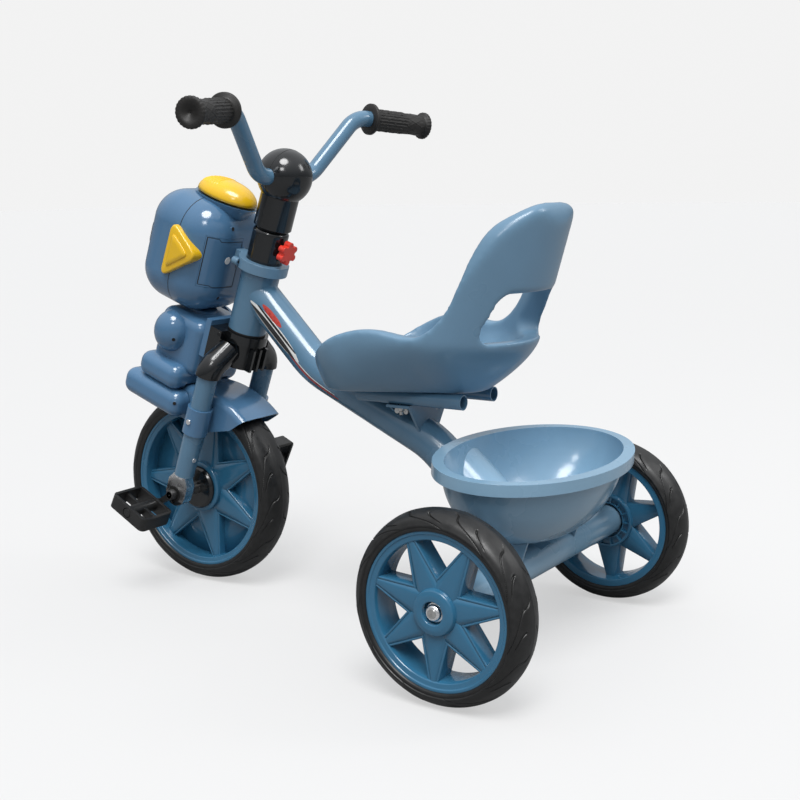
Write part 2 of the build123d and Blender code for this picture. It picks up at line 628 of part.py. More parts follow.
def dropout():
    """The bright end piece of the left leg, with the crank axle's hole."""
    inner, outer = DROPOUT_INNER_Y, DROPOUT_OUTER_Y
    plate = disc(DROPOUT_WIDTH / 2, inner, outer)
    plate += block(-DROPOUT_WIDTH / 2, DROPOUT_WIDTH / 2, inner, outer, 0, LEG_LOW_T - 10)
    neck = side_prism([(-DROPOUT_WIDTH / 2, LEG_LOW_T - 10), (DROPOUT_WIDTH / 2, LEG_LOW_T - 10),
                       (LEG_RADIUS - 3, LEG_LOW_T), (3 - LEG_RADIUS, LEG_LOW_T)], inner, outer)
    plug = Pos(0, FORK_HALF_WIDTH, 0) * post(LEG_RADIUS - LEG_WALL, LEG_LOW_T - 4, LEG_LOW_T + 16)
    return plate + neck + plug - disc(AXLE_RADIUS + BUSH_WALL, 0, 2 * outer)


def dropout_bush():
    """The flanged bush in the left dropout."""
    bush = disc(AXLE_RADIUS + BUSH_WALL, DROPOUT_INNER_Y, DROPOUT_OUTER_Y)
    bush += disc(AXLE_RADIUS + BUSH_WALL + 2, DROPOUT_OUTER_Y, DROPOUT_OUTER_Y + BUSH_FLANGE)
    return bush - disc(AXLE_RADIUS + RUNNING_GAP, 0, 2 * DROPOUT_OUTER_Y)


def crank_axle():
    """The axle that the front wheel and the crank arms are fixed to."""
    collar_start = FRONT_HUB_HALF + HUB_CAP_DEPTH
    rod = disc(AXLE_RADIUS, -ARM_OUTER_Y, ARM_OUTER_Y)
    collar = disc(AXLE_RADIUS + 3, collar_start, DROPOUT_INNER_Y - SIDE_GAP)
    for item in both_sides(collar):
        rod += item
    return rod


def crank_arm():
    """The left crank arm with its pedal spindle, before it is turned to its angle."""
    arm = disc(AXLE_RADIUS + 4, ARM_INNER_Y, ARM_OUTER_Y)
    arm += Pos(CRANK_THROW, 0, 0) * disc(SPINDLE_RADIUS + 4, ARM_INNER_Y, ARM_OUTER_Y)
    arm += block(0, CRANK_THROW, ARM_INNER_Y, ARM_OUTER_Y, -6, 6)
    arm -= disc(AXLE_RADIUS, 0, 2 * ARM_OUTER_Y)
    spindle = disc(SPINDLE_RADIUS, ARM_OUTER_Y, PEDAL_OUTER_Y - 1)
    spindle += disc(SPINDLE_RADIUS + 2, PEDAL_OUTER_Y - 3, PEDAL_OUTER_Y)
    return arm + Pos(CRANK_THROW, 0, 0) * spindle


def pedal():
    """The left openwork pedal, with its bore on the Y axis."""
    half_length, half_thickness = PEDAL_LENGTH / 2, PEDAL_THICKNESS / 2
    inner, outer = PEDAL_INNER_Y, PEDAL_OUTER_Y
    frame = block(-half_length, half_length, inner, outer, -half_thickness, half_thickness)
    frame = fillet(frame.edges().filter_by(Axis.Z), 7)
    opening = block(PEDAL_WALL - half_length, half_length - PEDAL_WALL, inner + PEDAL_WALL,
                    outer - PEDAL_WALL, -half_thickness - 1, half_thickness + 1)
    frame -= opening
    frame += disc(SPINDLE_RADIUS + 3.5, inner, outer - 4)
    frame += block(-half_length + 1, half_length - 1, (inner + outer) / 2 - 2, (inner + outer) / 2 + 2, -5, 5)
    frame -= disc(SPINDLE_RADIUS + RUNNING_GAP, inner - 1, outer + 1)
    frame -= disc(SPINDLE_RADIUS + 2.5, outer - 4, outer + 1)
    return frame


def mudguard():
    """The front mudguard: an arched shell with side skirts and collars on the legs."""
    half = GUARD_HALF_WIDTH
    outer, inner = GUARD_RADIUS, GUARD_RADIUS - GUARD_WALL
    drum = disc(outer, -half, half)
    drum = fillet(drum.edges().filter_by(GeomType.CIRCLE), 10)
    hollow = disc(inner, GUARD_WALL - half, half - GUARD_WALL)
    hollow = fillet(hollow.edges().filter_by(GeomType.CIRCLE), 8)
    shell = drum - hollow
    front, rear = radians(GUARD_FRONT_ANGLE), radians(GUARD_REAR_ANGLE)
    reach = 1.3 * outer
    low = GUARD_COLLAR_LOW_T
    keep = [(reach * sin(front), reach * cos(front)), (low * tan(front), low), (-6, low),
            (-outer * sin(rear) * 0.62, outer * cos(rear) * 0.86), (-reach * sin(rear), reach * cos(rear)),
            (-reach, 2 * outer), (reach, 2 * outer)]
    shell = shell & side_prism(keep, -2 * half, 2 * half)
    collar = Pos(0, FORK_HALF_WIDTH, 0) * post(LEG_RADIUS + GUARD_COLLAR_WALL, low, GUARD_COLLAR_TOP_T)
    bore = Pos(0, FORK_HALF_WIDTH, 0) * post(LEG_RADIUS, low - 1, GUARD_COLLAR_TOP_T + 1)
    web = block(-8, 8, half - 1, FORK_HALF_WIDTH - LEG_RADIUS, low, GUARD_COLLAR_TOP_T)
    for item in both_sides(collar + web - bore):
        shell += item
    for screw in fork_screws():
        shell -= screw
    return max(shell.solids(), key=lambda solid: solid.volume)


# ---------------------------------------------------------------- stem and handlebar
def bar_path():
    """Centre line of the handlebar in the steering frame, from right to left."""
    high = BAR_CENTRE_T + BAR_RISE
    left = [(0, BAR_FLAT_HALF, BAR_CENTRE_T), (BAR_SHOULDER_D, BAR_SHOULDER_Y, high),
            (-BAR_SWEEP, BAR_END_Y, high + BAR_END_RISE)]
    right = [(d, -y, t) for d, y, t in reversed(left)]
    return FilletPolyline(*right, *left, radius=BAR_BEND)


def handlebar():
    """The bent handlebar tube."""
    path = bar_path()
    return swept(path, BAR_RADIUS) - swept(path, BAR_RADIUS - BAR_WALL)


def grip():
    """The left grip, slipped over the bar's end."""
    shoulder = Vector(BAR_SHOULDER_D, BAR_SHOULDER_Y, BAR_CENTRE_T + BAR_RISE)
    end = Vector(-BAR_SWEEP, BAR_END_Y, BAR_CENTRE_T + BAR_RISE + BAR_END_RISE)
    along = (end - shoulder).normalized()
    wall = 3.0
    inner_start = wall - GRIP_LENGTH
    sleeve = post(GRIP_RADIUS, inner_start, wall)
    sleeve += post(GRIP_END_RADIUS, -1, wall)
    sleeve += post(GRIP_FLANGE_RADIUS, inner_start, inner_start + 5)
    sleeve -= post(BAR_RADIUS, inner_start - 1, 0)
    sleeve -= post(2.5, -1, wall + 1)
    return Plane(origin=end, z_dir=along).location * sleeve


def steerer_tube():
    """The steerer, fixed in the crown and running in the head bushes."""
    return pipe(STEERER_RADIUS, STEERER_WALL, STEERER_LOW_T, COLLAR_TOP_T - 6)


def stem_post():
    """The stem inside the steerer, saddled to the handlebar."""
    radius = STEERER_RADIUS - STEERER_WALL
    tube = pipe(radius, 2.0, HEAD_TUBE_LOW_T + 25, BAR_CENTRE_T)
    return tube - disc(BAR_RADIUS, -60, 60).moved(Pos(0, 0, BAR_CENTRE_T))


def stem_collar():
    """The black collar that the knob clamps, with a rounded shoulder."""
    collar = post(COLLAR_RADIUS, COLLAR_LOW_T, COLLAR_TOP_T)
    collar = fillet(collar.edges().sort_by(Axis.Z)[-1], 5)
    collar -= post(STEERER_RADIUS, COLLAR_LOW_T - 1, COLLAR_TOP_T - 6)
    collar -= post(STEERER_RADIUS - STEERER_WALL, COLLAR_LOW_T, COLLAR_TOP_T + 1)
    stud_hole = Pos(-COLLAR_RADIUS, 0, KNOB_T) * Rot(0, 90, 0) * Cylinder(3 + RUNNING_GAP, 20)
    return collar - stud_hole


def ball_hull(radius):
    """The ball over the handlebar's middle, as a solid."""
    return Pos(0, 0, BAR_CENTRE_T) * Sphere(radius)


def stem_cover():
    """The tubular cover between the collar and the ball."""
    tube = post(STEM_COVER_RADIUS, COLLAR_TOP_T, BAR_CENTRE_T)
    tube = chamfer(tube.edges().sort_by(Axis.Z)[0], 3)
    tube -= post(STEM_COVER_RADIUS - STEM_COVER_WALL, COLLAR_TOP_T + 4, BAR_CENTRE_T + 1)
    tube -= post(STEERER_RADIUS - STEERER_WALL, COLLAR_TOP_T - 1, BAR_CENTRE_T)
    return tube - ball_hull(BALL_RADIUS)


def ball_halves():
    """The front and rear halves of the ball cover."""
    shell = ball_hull(BALL_RADIUS) - ball_hull(BALL_RADIUS - BALL_WALL)
    shell -= swept(bar_path(), BAR_RADIUS)
    shell -= post(STEM_COVER_RADIUS - STEM_COVER_WALL, BAR_CENTRE_T - 60, BAR_CENTRE_T)
    front = shell & block(0, 60, -60, 60, BAR_CENTRE_T - 60, BAR_CENTRE_T + 60)
    rear = shell & block(-60, 0, -60, 60, BAR_CENTRE_T - 60, BAR_CENTRE_T + 60)
    return front, rear


def clamp_ring():
    """The band round the collar whose arm steadies the music box."""
    low, high = COLLAR_LOW_T, COLLAR_LOW_T + CLAMP_HEIGHT
    band = post(COLLAR_RADIUS + CLAMP_BAND_WALL, low, high)
    band += block(0, BOX_REAR_D, -CLAMP_ARM_HALF, CLAMP_ARM_HALF, low, high)
    return band - post(COLLAR_RADIUS, low - 1, high + 1)


def clamp_knob():
    """The lobed knob and its stud, along the steering frame's d axis."""
    face = -COLLAR_RADIUS - 4
    knob = Cylinder(10, 9)
    for index in range(6):
        angle = 2 * pi * index / 6
        knob += Pos(10.5 * cos(angle), 10.5 * sin(angle), 0) * Cylinder(4, 9)
    knob = Pos(face - 4.5, 0, 0) * Rot(0, 90, 0) * knob
    stud_length = -STEERER_RADIUS - SIDE_GAP - face
    stud = Pos(face + stud_length / 2, 0, 0) * Rot(0, 90, 0) * Cylinder(3, stud_length)
    neck = Pos(face + 1.5, 0, 0) * Rot(0, 90, 0) * Cylinder(5, 3)
    return Pos(0, 0, KNOB_T) * (knob + stud + neck)


# ---------------------------------------------------------------- music box
def rounded_box(d_low, d_high, half_y, t_low, t_high, corner):
    """A box with all its edges rounded."""
    return fillet(block(d_low, d_high, -half_y, half_y, t_low, t_high).edges(), corner)


def head_hull(inset):
    """The head of the music box as a solid, shrunk by inset."""
    return rounded_box(BOX_REAR_D + inset, BOX_FRONT_D - inset, BOX_HALF_Y - inset,
                       BOX_LOW_T + inset, BOX_TOP_T - inset, BOX_CORNER - inset)


def button_seat(inset):
    """The oval platform under the top button, drawn in below to meet the head."""
    top = BOX_TOP_T + BUTTON_SEAT
    half_d = BUTTON_HALF_D + BUTTON_SEAT_RIM - inset
    half_y = BUTTON_HALF_Y + BUTTON_SEAT_RIM - inset
    rim = Pos(BUTTON_D, 0, top) * Ellipse(half_d, half_y)
    foot = Pos(BUTTON_D, 0, top - BUTTON_SEAT_DROP) * Ellipse(half_d - BUTTON_SEAT_FOOT, half_y - BUTTON_SEAT_FOOT / 2)
    return loft([foot, rim], ruled=True)


def door_prism(gap):
    """The space of the battery door in the rear of the head."""
    return block(BOX_REAR_D - 5, BOX_REAR_D + 22, -2 - gap, 50 + gap, BOX_LOW_T + 42 - gap, BOX_TOP_T - 36 + gap)


def head_shells():
    """The front and rear shells of the head and the battery door."""
    outer = head_hull(0) + button_seat(0)
    inner = head_hull(BOX_WALL) + button_seat(BOX_WALL)
    inner -= block(0, 300, -100, 100, BOX_TOP_T - 1, BOX_TOP_T + 50)
    shell = outer - inner
    shell -= Pos(BUTTON_D, 0, 0) * post(5.5, BOX_TOP_T - 30, BOX_TOP_T + 10)
    door = shell & door_prism(-0.4)
    shell -= door_prism(0)
    window = visor_prism()
    front = (shell & block(SEAM_D, 400, -200, 200, 0, 600)) - window
    rear = shell & block(0, SEAM_D, -200, 200, 0, 600)
    keep = [max(item.solids(), key=lambda solid: solid.volume) for item in (front, rear, door)]
    return keep


def visor_prism():
    """The space of the dark visor panel in the front of the head."""
    panel = block(BOX_FRONT_D - BOX_WALL, BOX_FRONT_D + 1, -34, 34, BOX_CENTRE_T - 22, BOX_CENTRE_T + 26)
    return fillet(panel.edges().filter_by(Axis.X), 16)


def front_visor():
    """The smooth dark panel on the front of the head."""
    return visor_prism()


def side_lamp():
    """The rounded triangular lamp on the left side of the head."""
    corners = [(BOX_CENTRE_D + 1, BOX_CENTRE_T + 41), (BOX_CENTRE_D - 50, BOX_CENTRE_T + 10),
               (BOX_CENTRE_D + 3, BOX_CENTRE_T - 35)]
    lamp = side_prism(corners, BOX_HALF_Y - 18, BOX_HALF_Y + LAMP_PROUD)
    lamp = fillet(lamp.edges().filter_by(Axis.Y), 7)
    lamp = lamp - head_hull(0)
    return max(lamp.solids(), key=lambda solid: solid.volume)


def button_dome(grow):
    """The top button's dome as a solid, grown all over."""
    halves = (BUTTON_HALF_D + grow, BUTTON_HALF_Y + grow, BUTTON_HEIGHT + grow)
    return scale(Sphere(1), by=halves) & block(-60, 60, -60, 60, min(grow, 0), 60)


def top_button():
    """The ribbed oval push button on top of the head, with its plunger."""
    centre = Pos(BUTTON_D, 0, BUTTON_BASE_T)
    dome = button_dome(0)
    hollow = button_dome(-BUTTON_WALL)
    cap = dome - hollow
    raised = button_dome(BUTTON_RIB_PITCH / 5) - hollow
    half_y = BUTTON_HALF_Y - 10
    for index in range(BUTTON_RIBS):
        d = BUTTON_RIB_PITCH * (index + 1.5)
        cap += raised & block(d - 1, d + 1, -half_y, half_y, BUTTON_HEIGHT / 2 - index, BUTTON_HEIGHT + 2)
    stem = post(4.8, -PLUNGER_LENGTH, BUTTON_HEIGHT - BUTTON_WALL + 1)
    return centre * (cap + stem)


def body_hull(inset):
    """The body of the music box below the head, as a solid shrunk by inset."""
    torso = rounded_box(CROWN_PLATE_D + 6 + inset, 108 - inset, 44 - inset, 142 + inset, BOX_LOW_T - 2.5 - inset,
                        14 - inset)
    upper = rounded_box(42 + inset, 112 - inset, POD_HALF_WIDTH - inset, 122 + inset, 155 - inset, 14 - inset)
    lower = rounded_box(31 + inset, 131 - inset, POD_HALF_WIDTH - inset, 88 + inset, 123 - inset, 14 - inset)
    return torso + upper + lower


def body_shells():
    """The front and rear shells of the body, arched over the mudguard."""
    arch = disc(GUARD_RADIUS + 1.5, -GUARD_HALF_WIDTH - 1.5, GUARD_HALF_WIDTH + 1.5)
    arch_wall = disc(GUARD_RADIUS + 4, -GUARD_HALF_WIDTH - 4, GUARD_HALF_WIDTH + 4)
    outer = body_hull(0) - arch
    inner = body_hull(BOX_WALL) - arch_wall
    flange = block(CROWN_PLATE_D, CROWN_PLATE_D + 8, -CROWN_PLATE_HALF, CROWN_PLATE_HALF, CROWN_LOW_T, BOX_LOW_T + 6)
    neck = Pos(BUTTON_D, 0, 0) * post(20, BOX_LOW_T - 12, BOX_LOW_T)
    outer += flange + neck
    shell = outer - inner - head_hull(0)
    front = shell & block(SEAM_D, 400, -200, 200, 0, 600)
    rear = shell & block(0, SEAM_D, -200, 200, 0, 600)
    return [max(item.solids(), key=lambda solid: solid.volume) for item in (front, rear)]


def shoulder_pod():
    """The domed pod on the left side of the body."""
    pod = Pos(82, 42, 190) * scale(Sphere(1), by=(24, 22, 27))
    pod = pod - block(-200, 200, -200, 44, 0, 400)
    return max(pod.solids(), key=lambda solid: solid.volume)


def battery_box():
    """The battery holder behind the door, its rim resting on the shell round the door."""
    low, high = BOX_LOW_T + 42, BOX_TOP_T - 36
    holder = block(BOX_REAR_D, BOX_REAR_D + BATTERY_DEPTH, -6, 54, low - 4, high + 4) & head_hull(BOX_WALL)
    return holder - block(BOX_REAR_D, BOX_REAR_D + BATTERY_DEPTH - 3, -2, 50, low, high)


def speaker():
    """The loudspeaker against the back of the visor."""
    place = Pos(BOX_FRONT_D - BOX_WALL, 0, BOX_CENTRE_T + 2) * Rot(0, 90, 0)
    return place * (Pos(0, 0, -3) * Cylinder(20, 6) + Pos(0, 0, -12) * Cylinder(12, 12))


def circuit_board():
    """The sound board, held in the shells, with the push switch under the button."""
    plunger_end = BUTTON_BASE_T - PLUNGER_LENGTH
    top = plunger_end - BUTTON_TRAVEL - SIDE_GAP
    board = block(BOX_CENTRE_D - 45, BOX_CENTRE_D + 10, -60, 60, top - 7, top - 5) & head_hull(BOX_WALL)
    return board + Pos(BUTTON_D, 0, 0) * post(4, top - 5, top)


# ---------------------------------------------------------------- assembly
def build_rear_frame():
    """Everything that stays with the main frame."""
    save("main_tube", main_tube())
    save("head_tube", head_tube())
    save("head_bushes", *head_bushes())
    save("rear_axle_tube", rear_axle_tube())
    save("axle_bushes", *axle_bushes())
    rod, washers, nuts = rear_axle_set()
    save("rear_axle", rod)
    save("axle_washers", *washers)
    save("axle_nuts", *nuts)
    save("seat", seat())
    save("seat_rails", *seat_rails())
    save("seat_bracket", seat_bracket())
    save("seat_bolts", *seat_bolts())
    save("basket", basket())
    save("basket_brackets", *basket_brackets())


def build_rear_wheels():
    """The two rear wheels."""
    sides = (("rear_left", 1, LEFT_SPOKE_ANGLE), ("rear_right", -1, RIGHT_SPOKE_ANGLE))
    for name, side, first_angle in sides:
        for piece, solid in zip(("rim", "tyre", "bush"), rear_wheel(first_angle)):
            if side < 0:
                solid = mirror(solid, about=Plane.XZ)
            save(f"{name}_{piece}", Pos(REAR_AXLE_X, side * TRACK / 2, REAR_WHEEL_RADIUS) * solid)


def build_front_wheel():
    """The front wheel, the cranks and the pedals."""
    place = Pos(FRONT_AXLE_X, 0, FRONT_WHEEL_RADIUS)
    wheel, rubber, caps = front_wheel()
    save("front_rim", place * wheel)
    save("front_tyre", place * rubber)
    save("front_hub_caps", *[place * cap for cap in caps])
    save("crank_axle", place * crank_axle())
    left_turn, right_turn = Rot(0, -CRANK_ANGLE, 0), Rot(0, 180 - CRANK_ANGLE, 0)
    left_arm, right_arm = both_sides(crank_arm())
    save("left_crank_arm", place * left_turn * left_arm)
    save("right_crank_arm", place * right_turn * right_arm)
    left_pedal, right_pedal = both_sides(pedal())
    reach = Pos(CRANK_THROW, 0, 0)
    left_level = Rot(0, CRANK_ANGLE + PEDAL_TILT, 0)
    right_level = Rot(0, CRANK_ANGLE - 180 + RIGHT_PEDAL_TILT, 0)
    save("left_pedal", place * left_turn * reach * left_level * left_pedal)
    save("right_pedal", place * right_turn * reach * right_level * right_pedal)


def build_steering():
    """Everything that turns with the handlebar."""
    left_leg, right_leg = both_sides(fork_leg())
    pieces = {
        "fork_crown": [fork_crown()],
        "left_fork_leg": [left_leg],
        "right_fork_leg": [right_leg],
        "fork_dropouts": both_sides(dropout()),
        "dropout_bushes": both_sides(dropout_bush()),
        "fork_screws": fork_screws(),
        "mudguard": [mudguard()],
        "steerer_tube": [steerer_tube()],
        "stem_post": [stem_post()],
        "stem_collar": [stem_collar()],
        "stem_cover": [stem_cover()],
        "clamp_ring": [clamp_ring()],
        "clamp_knob": [clamp_knob()],
        "handlebar": [handlebar()],
        "side_lamps": both_sides(side_lamp()),
        "front_visor": [front_visor()],
        "top_button": [top_button()],
        "shoulder_pods": both_sides(shoulder_pod()),
        "battery_box": [battery_box()],
        "speaker": [speaker()],
        "circuit_board": [circuit_board()],
    }
    pieces["stem_ball_front"], pieces["stem_ball_rear"] = [[half] for half in ball_halves()]
    pieces["left_grip"], pieces["right_grip"] = [[item] for item in both_sides(grip())]
    names = ("head_front_shell", "head_rear_shell", "battery_door")
    for name, shell in zip(names, head_shells()):
        pieces[name] = [shell]
    for name, shell in zip(("body_front_shell", "body_rear_shell"), body_shells()):
        pieces[name] = [shell]
    for name, solids in pieces.items():
        save(name, *[STEER * solid for solid in solids])


os.makedirs("parts", exist_ok=True)
build_rear_frame()
build_rear_wheels()
build_front_wheel()
build_steering()
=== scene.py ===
import json
import math
import bmesh
import bpy
import numpy as np
from mathutils import Matrix, Vector
from mathutils.bvhtree import BVHTree


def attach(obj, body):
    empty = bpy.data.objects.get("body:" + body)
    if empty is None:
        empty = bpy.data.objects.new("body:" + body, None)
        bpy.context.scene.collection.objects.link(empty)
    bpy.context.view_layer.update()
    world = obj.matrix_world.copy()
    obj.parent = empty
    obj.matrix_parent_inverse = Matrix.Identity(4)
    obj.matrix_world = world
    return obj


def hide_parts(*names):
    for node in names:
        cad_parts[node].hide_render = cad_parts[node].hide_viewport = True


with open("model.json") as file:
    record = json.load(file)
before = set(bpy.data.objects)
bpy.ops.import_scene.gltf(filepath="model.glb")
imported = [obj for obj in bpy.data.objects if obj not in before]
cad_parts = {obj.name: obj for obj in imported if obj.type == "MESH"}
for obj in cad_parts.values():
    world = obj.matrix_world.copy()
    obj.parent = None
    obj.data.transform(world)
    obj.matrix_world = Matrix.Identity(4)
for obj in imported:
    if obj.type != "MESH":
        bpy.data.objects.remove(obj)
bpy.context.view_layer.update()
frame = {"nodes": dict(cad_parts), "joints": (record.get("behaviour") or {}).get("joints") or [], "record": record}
nodes = frame["nodes"]
joints = {j["name"]: j for j in frame["joints"]}


def mm(*values):
    """Millimetres to metres."""
    out = tuple(v / 1000 for v in values)
    return out if len(out) > 1 else out[0]


# ------------------------------------------------------------------ places from the frame
FRONT_AXLE = Vector(joints["front_wheel_spin"]["pos_m"])
STEER_AXIS = Vector(joints["steering_turn"]["axis"]).normalized()
RAKE = math.atan2(-STEER_AXIS.x, STEER_AXIS.z)
STEER = Matrix.Translation(FRONT_AXLE) @ Matrix.Rotation(-RAKE, 4, "Y")
REAR_X = joints["rear_left_spin"]["pos_m"][0]
REAR_R = joints["rear_left_spin"]["pos_m"][2]
TRACK_HALF = joints["rear_left_spin"]["pos_m"][1]


# ------------------------------------------------------------------ materials
def principled(name, color, rough, metal=0.0, coat=0.0, coat_rough=0.05, vary=0.10, scale=60.0,
               bump=0.0, bump_scale=900.0, rough_vary=0.08, spec=0.5):
    """A shaded finish: a base tone that drifts a little, worn roughness and a fine surface grain."""
    m = bpy.data.materials.new(name)
    m.use_nodes = True
    t = m.node_tree
    t.nodes.clear()
    out = t.nodes.new("ShaderNodeOutputMaterial")
    p = t.nodes.new("ShaderNodeBsdfPrincipled")
    t.links.new(p.outputs[0], out.inputs[0])
    coord = t.nodes.new("ShaderNodeTexCoord")
    noise = t.nodes.new("ShaderNodeTexNoise")
    noise.inputs["Scale"].default_value = scale
    noise.inputs["Detail"].default_value = 4.0
    t.links.new(coord.outputs["Object"], noise.inputs["Vector"])
    ramp = t.nodes.new("ShaderNodeValToRGB")
    dark = [c * (1 - vary) for c in color]
    light = [min(1.0, c * (1 + vary)) for c in color]
    ramp.color_ramp.elements[0].position = 0.35
    ramp.color_ramp.elements[0].color = (*dark, 1)
    ramp.color_ramp.elements[1].position = 0.65
    ramp.color_ramp.elements[1].color = (*light, 1)
    t.links.new(noise.outputs["Fac"], ramp.inputs["Fac"])
    t.links.new(ramp.outputs["Color"], p.inputs["Base Color"])
    span = t.nodes.new("ShaderNodeMapRange")
    span.inputs["From Min"].default_value = 0.3
    span.inputs["From Max"].default_value = 0.7
    span.inputs["To Min"].default_value = max(0.02, rough - rough_vary)
    span.inputs["To Max"].default_value = min(1.0, rough + rough_vary)
    t.links.new(noise.outputs["Fac"], span.inputs["Value"])
    t.links.new(span.outputs[0], p.inputs["Roughness"])
    p.inputs["Metallic"].default_value = metal
    p.inputs["Coat Weight"].default_value = coat
    p.inputs["Coat Roughness"].default_value = coat_rough
    p.inputs["Specular IOR Level"].default_value = spec
    if bump > 0:
        grain = t.nodes.new("ShaderNodeTexNoise")
        grain.inputs["Scale"].default_value = bump_scale
        grain.inputs["Detail"].default_value = 3.0
        t.links.new(coord.outputs["Object"], grain.inputs["Vector"])
        b = t.nodes.new("ShaderNodeBump")
        b.inputs["Strength"].default_value = bump
        b.inputs["Distance"].default_value = 0.0004
        t.links.new(grain.outputs["Fac"], b.inputs["Height"])
        t.links.new(b.outputs[0], p.inputs["Normal"])
    return m


BLUE = (0.125, 0.235, 0.345)
MAT = {
    "mould": principled("moulded_blue", BLUE, 0.34, coat=0.25, coat_rough=0.18, vary=0.05, scale=9, bump=0.10, bump_scale=1500),
    # a lighter copy of the moulded blue: painted light, standing in for the stronger light on the basket, its brackets
    # and the rear axle tube's highlights
    "pale": principled("blue_with_painted_light", (0.20, 0.345, 0.475), 0.26, coat=0.4, coat_rough=0.12, vary=0.04, scale=9, bump=0.02, bump_scale=1500),
    "box": principled("box_blue", (0.066, 0.160, 0.285), 0.20, coat=0.5, coat_rough=0.08, vary=0.04, scale=12, bump=0.05, bump_scale=1800),
    "paint": principled("painted_blue", (0.085, 0.185, 0.285), 0.24, coat=0.5, coat_rough=0.08, vary=0.05, scale=20, bump=0.01, bump_scale=700),
    "rim": principled("rim_blue", (0.026, 0.125, 0.225), 0.20, coat=0.4, coat_rough=0.10, vary=0.05, scale=15, bump=0.03, bump_scale=900),
    "tyre": principled("tyre_black", (0.009, 0.009, 0.009), 0.40, vary=0.25, scale=120, bump=0.10, bump_scale=1600, rough_vary=0.08, spec=0.5),
    "black": principled("gloss_black", (0.007, 0.008, 0.009), 0.16, coat=0.3, coat_rough=0.08, vary=0.15, scale=40, bump=0.03),
    "satin": principled("satin_black", (0.013, 0.013, 0.013), 0.42, vary=0.2, scale=70, bump=0.12, bump_scale=1200),
    "grip": principled("grip_black", (0.011, 0.010, 0.009), 0.50, vary=0.2, scale=90, bump=0.25, bump_scale=1400),
    "chrome": principled("chrome", (0.90, 0.90, 0.91), 0.24, metal=1.0, vary=0.05, scale=60, bump=0.02),
    "zinc": principled("zinc", (0.55, 0.55, 0.54), 0.30, metal=1.0, vary=0.12, scale=150, bump=0.08),
    "yellow": principled("moulded_yellow", (0.78, 0.47, 0.012), 0.26, coat=0.35, coat_rough=0.12, vary=0.04, scale=20, bump=0.04),
    "red": principled("moulded_red", (0.70, 0.035, 0.018), 0.30, coat=0.3, coat_rough=0.15, vary=0.06, scale=40, bump=0.05),
    "white": principled("label_white", (0.80, 0.80, 0.78), 0.45, vary=0.03, scale=80),
    "dark": principled("tinted_panel", (0.012, 0.014, 0.020), 0.09, coat=0.6, coat_rough=0.03, vary=0.1, scale=30),
    "decal_black": principled("decal_black", (0.012, 0.012, 0.013), 0.30, coat=0.4, vary=0.1, scale=80),
    "decal_white": principled("decal_white", (0.78, 0.78, 0.76), 0.30, coat=0.4, vary=0.03, scale=80),
    "decal_red": principled("decal_red", (0.45, 0.035, 0.022), 0.32, coat=0.4, vary=0.15, scale=300),
    "board": principled("board_green", (0.02, 0.11, 0.05), 0.5, vary=0.15, scale=200),
    # near black used both for the dark joints of seams and as painted shade in screw holes, slots and lug holes
    "hole": principled("hole_shade_and_joint_dark", (0.004, 0.004, 0.005), 0.7, vary=0.2, scale=100),
}
SLOT_MAT = {
    "blue_moulding": "mould", "blue_paint": "paint", "blue_rim": "rim", "tyre": "tyre", "black_moulding": "black",
    "black_grip": "grip", "black_bush": "satin", "zinc": "zinc", "chrome": "chrome", "yellow": "yellow", "red": "red",
    "dark_panel": "dark", "inner": "board",
}
NODE_SLOT = {s["node"]: s["material_slot"] for s in frame["record"]["subparts"]}
SPECIAL = {n: "box" for n in ("head_front_shell", "head_rear_shell", "battery_door", "body_front_shell",
                              "body_rear_shell", "shoulder_pods", "mudguard")}
SPECIAL.update({n: "satin" for n in ("left_pedal", "right_pedal", "left_crank_arm", "right_crank_arm")})


# painted light: the basket, its brackets and the rear axle tube take the lighter copy of the blue to stand in for how
# brightly they are lit
SPECIAL.update({n: "pale" for n in ("basket", "basket_brackets", "rear_axle_tube")})


def finish_of(node):
    return MAT[SPECIAL.get(node, SLOT_MAT[NODE_SLOT[node]])]


for n, o in nodes.items():
    o.data.materials.clear()
    o.data.materials.append(finish_of(n))


# ------------------------------------------------------------------ mesh helpers
def link(name, mesh, material):
    o = bpy.data.objects.new(name, mesh)
    bpy.context.scene.collection.objects.link(o)
    if material is not None:
        mesh.materials.append(MAT[material] if isinstance(material, str) else material)
    return o


def build(name, verts, faces, material, smooth=True):
    mesh = bpy.data.meshes.new(name)
    mesh.from_pydata([tuple(v) for v in verts], [], [tuple(f) for f in faces])
    mesh.update()
    if smooth:
        mesh.polygons.foreach_set("use_smooth", [True] * len(mesh.polygons))
    return link(name, mesh, material)


def grid_faces(rows, cols, wrap_rows=False, wrap_cols=False):
    """Quads of a rows x cols grid of vertices."""
    r = np.arange(rows if wrap_rows else rows - 1)
    c = np.arange(cols if wrap_cols else cols - 1)
    rr, cc = np.meshgrid(r, c, indexing="ij")
    a = rr * cols + cc
    b = rr * cols + (cc + 1) % cols
    d = ((rr + 1) % rows) * cols + cc
    e = ((rr + 1) % rows) * cols + (cc + 1) % cols
    return np.stack([a, b, e, d], -1).reshape(-1, 4)


def grid_object(name, points, material, wrap_rows=False, wrap_cols=False, flip=False):
    """A smooth surface over an array of points of shape (rows, cols, 3)."""
    rows, cols = points.shape[:2]
    faces = grid_faces(rows, cols, wrap_rows, wrap_cols)
    if flip:
        faces = faces[:, ::-1]
    mesh = bpy.data.meshes.new(name)
    mesh.vertices.add(rows * cols)
    mesh.vertices.foreach_set("co", points.reshape(-1).astype(np.float32))
    mesh.loops.add(faces.size)
    mesh.loops.foreach_set("vertex_index", faces.reshape(-1).astype(np.int32))
    mesh.polygons.add(len(faces))
    mesh.polygons.foreach_set("loop_start", np.arange(0, faces.size, 4, dtype=np.int32))
    mesh.polygons.foreach_set("loop_total", np.full(len(faces), 4, dtype=np.int32))
    mesh.update(calc_edges=True)
    mesh.validate()
    mesh.polygons.foreach_set("use_smooth", [True] * len(mesh.polygons))
    return link(name, mesh, material)


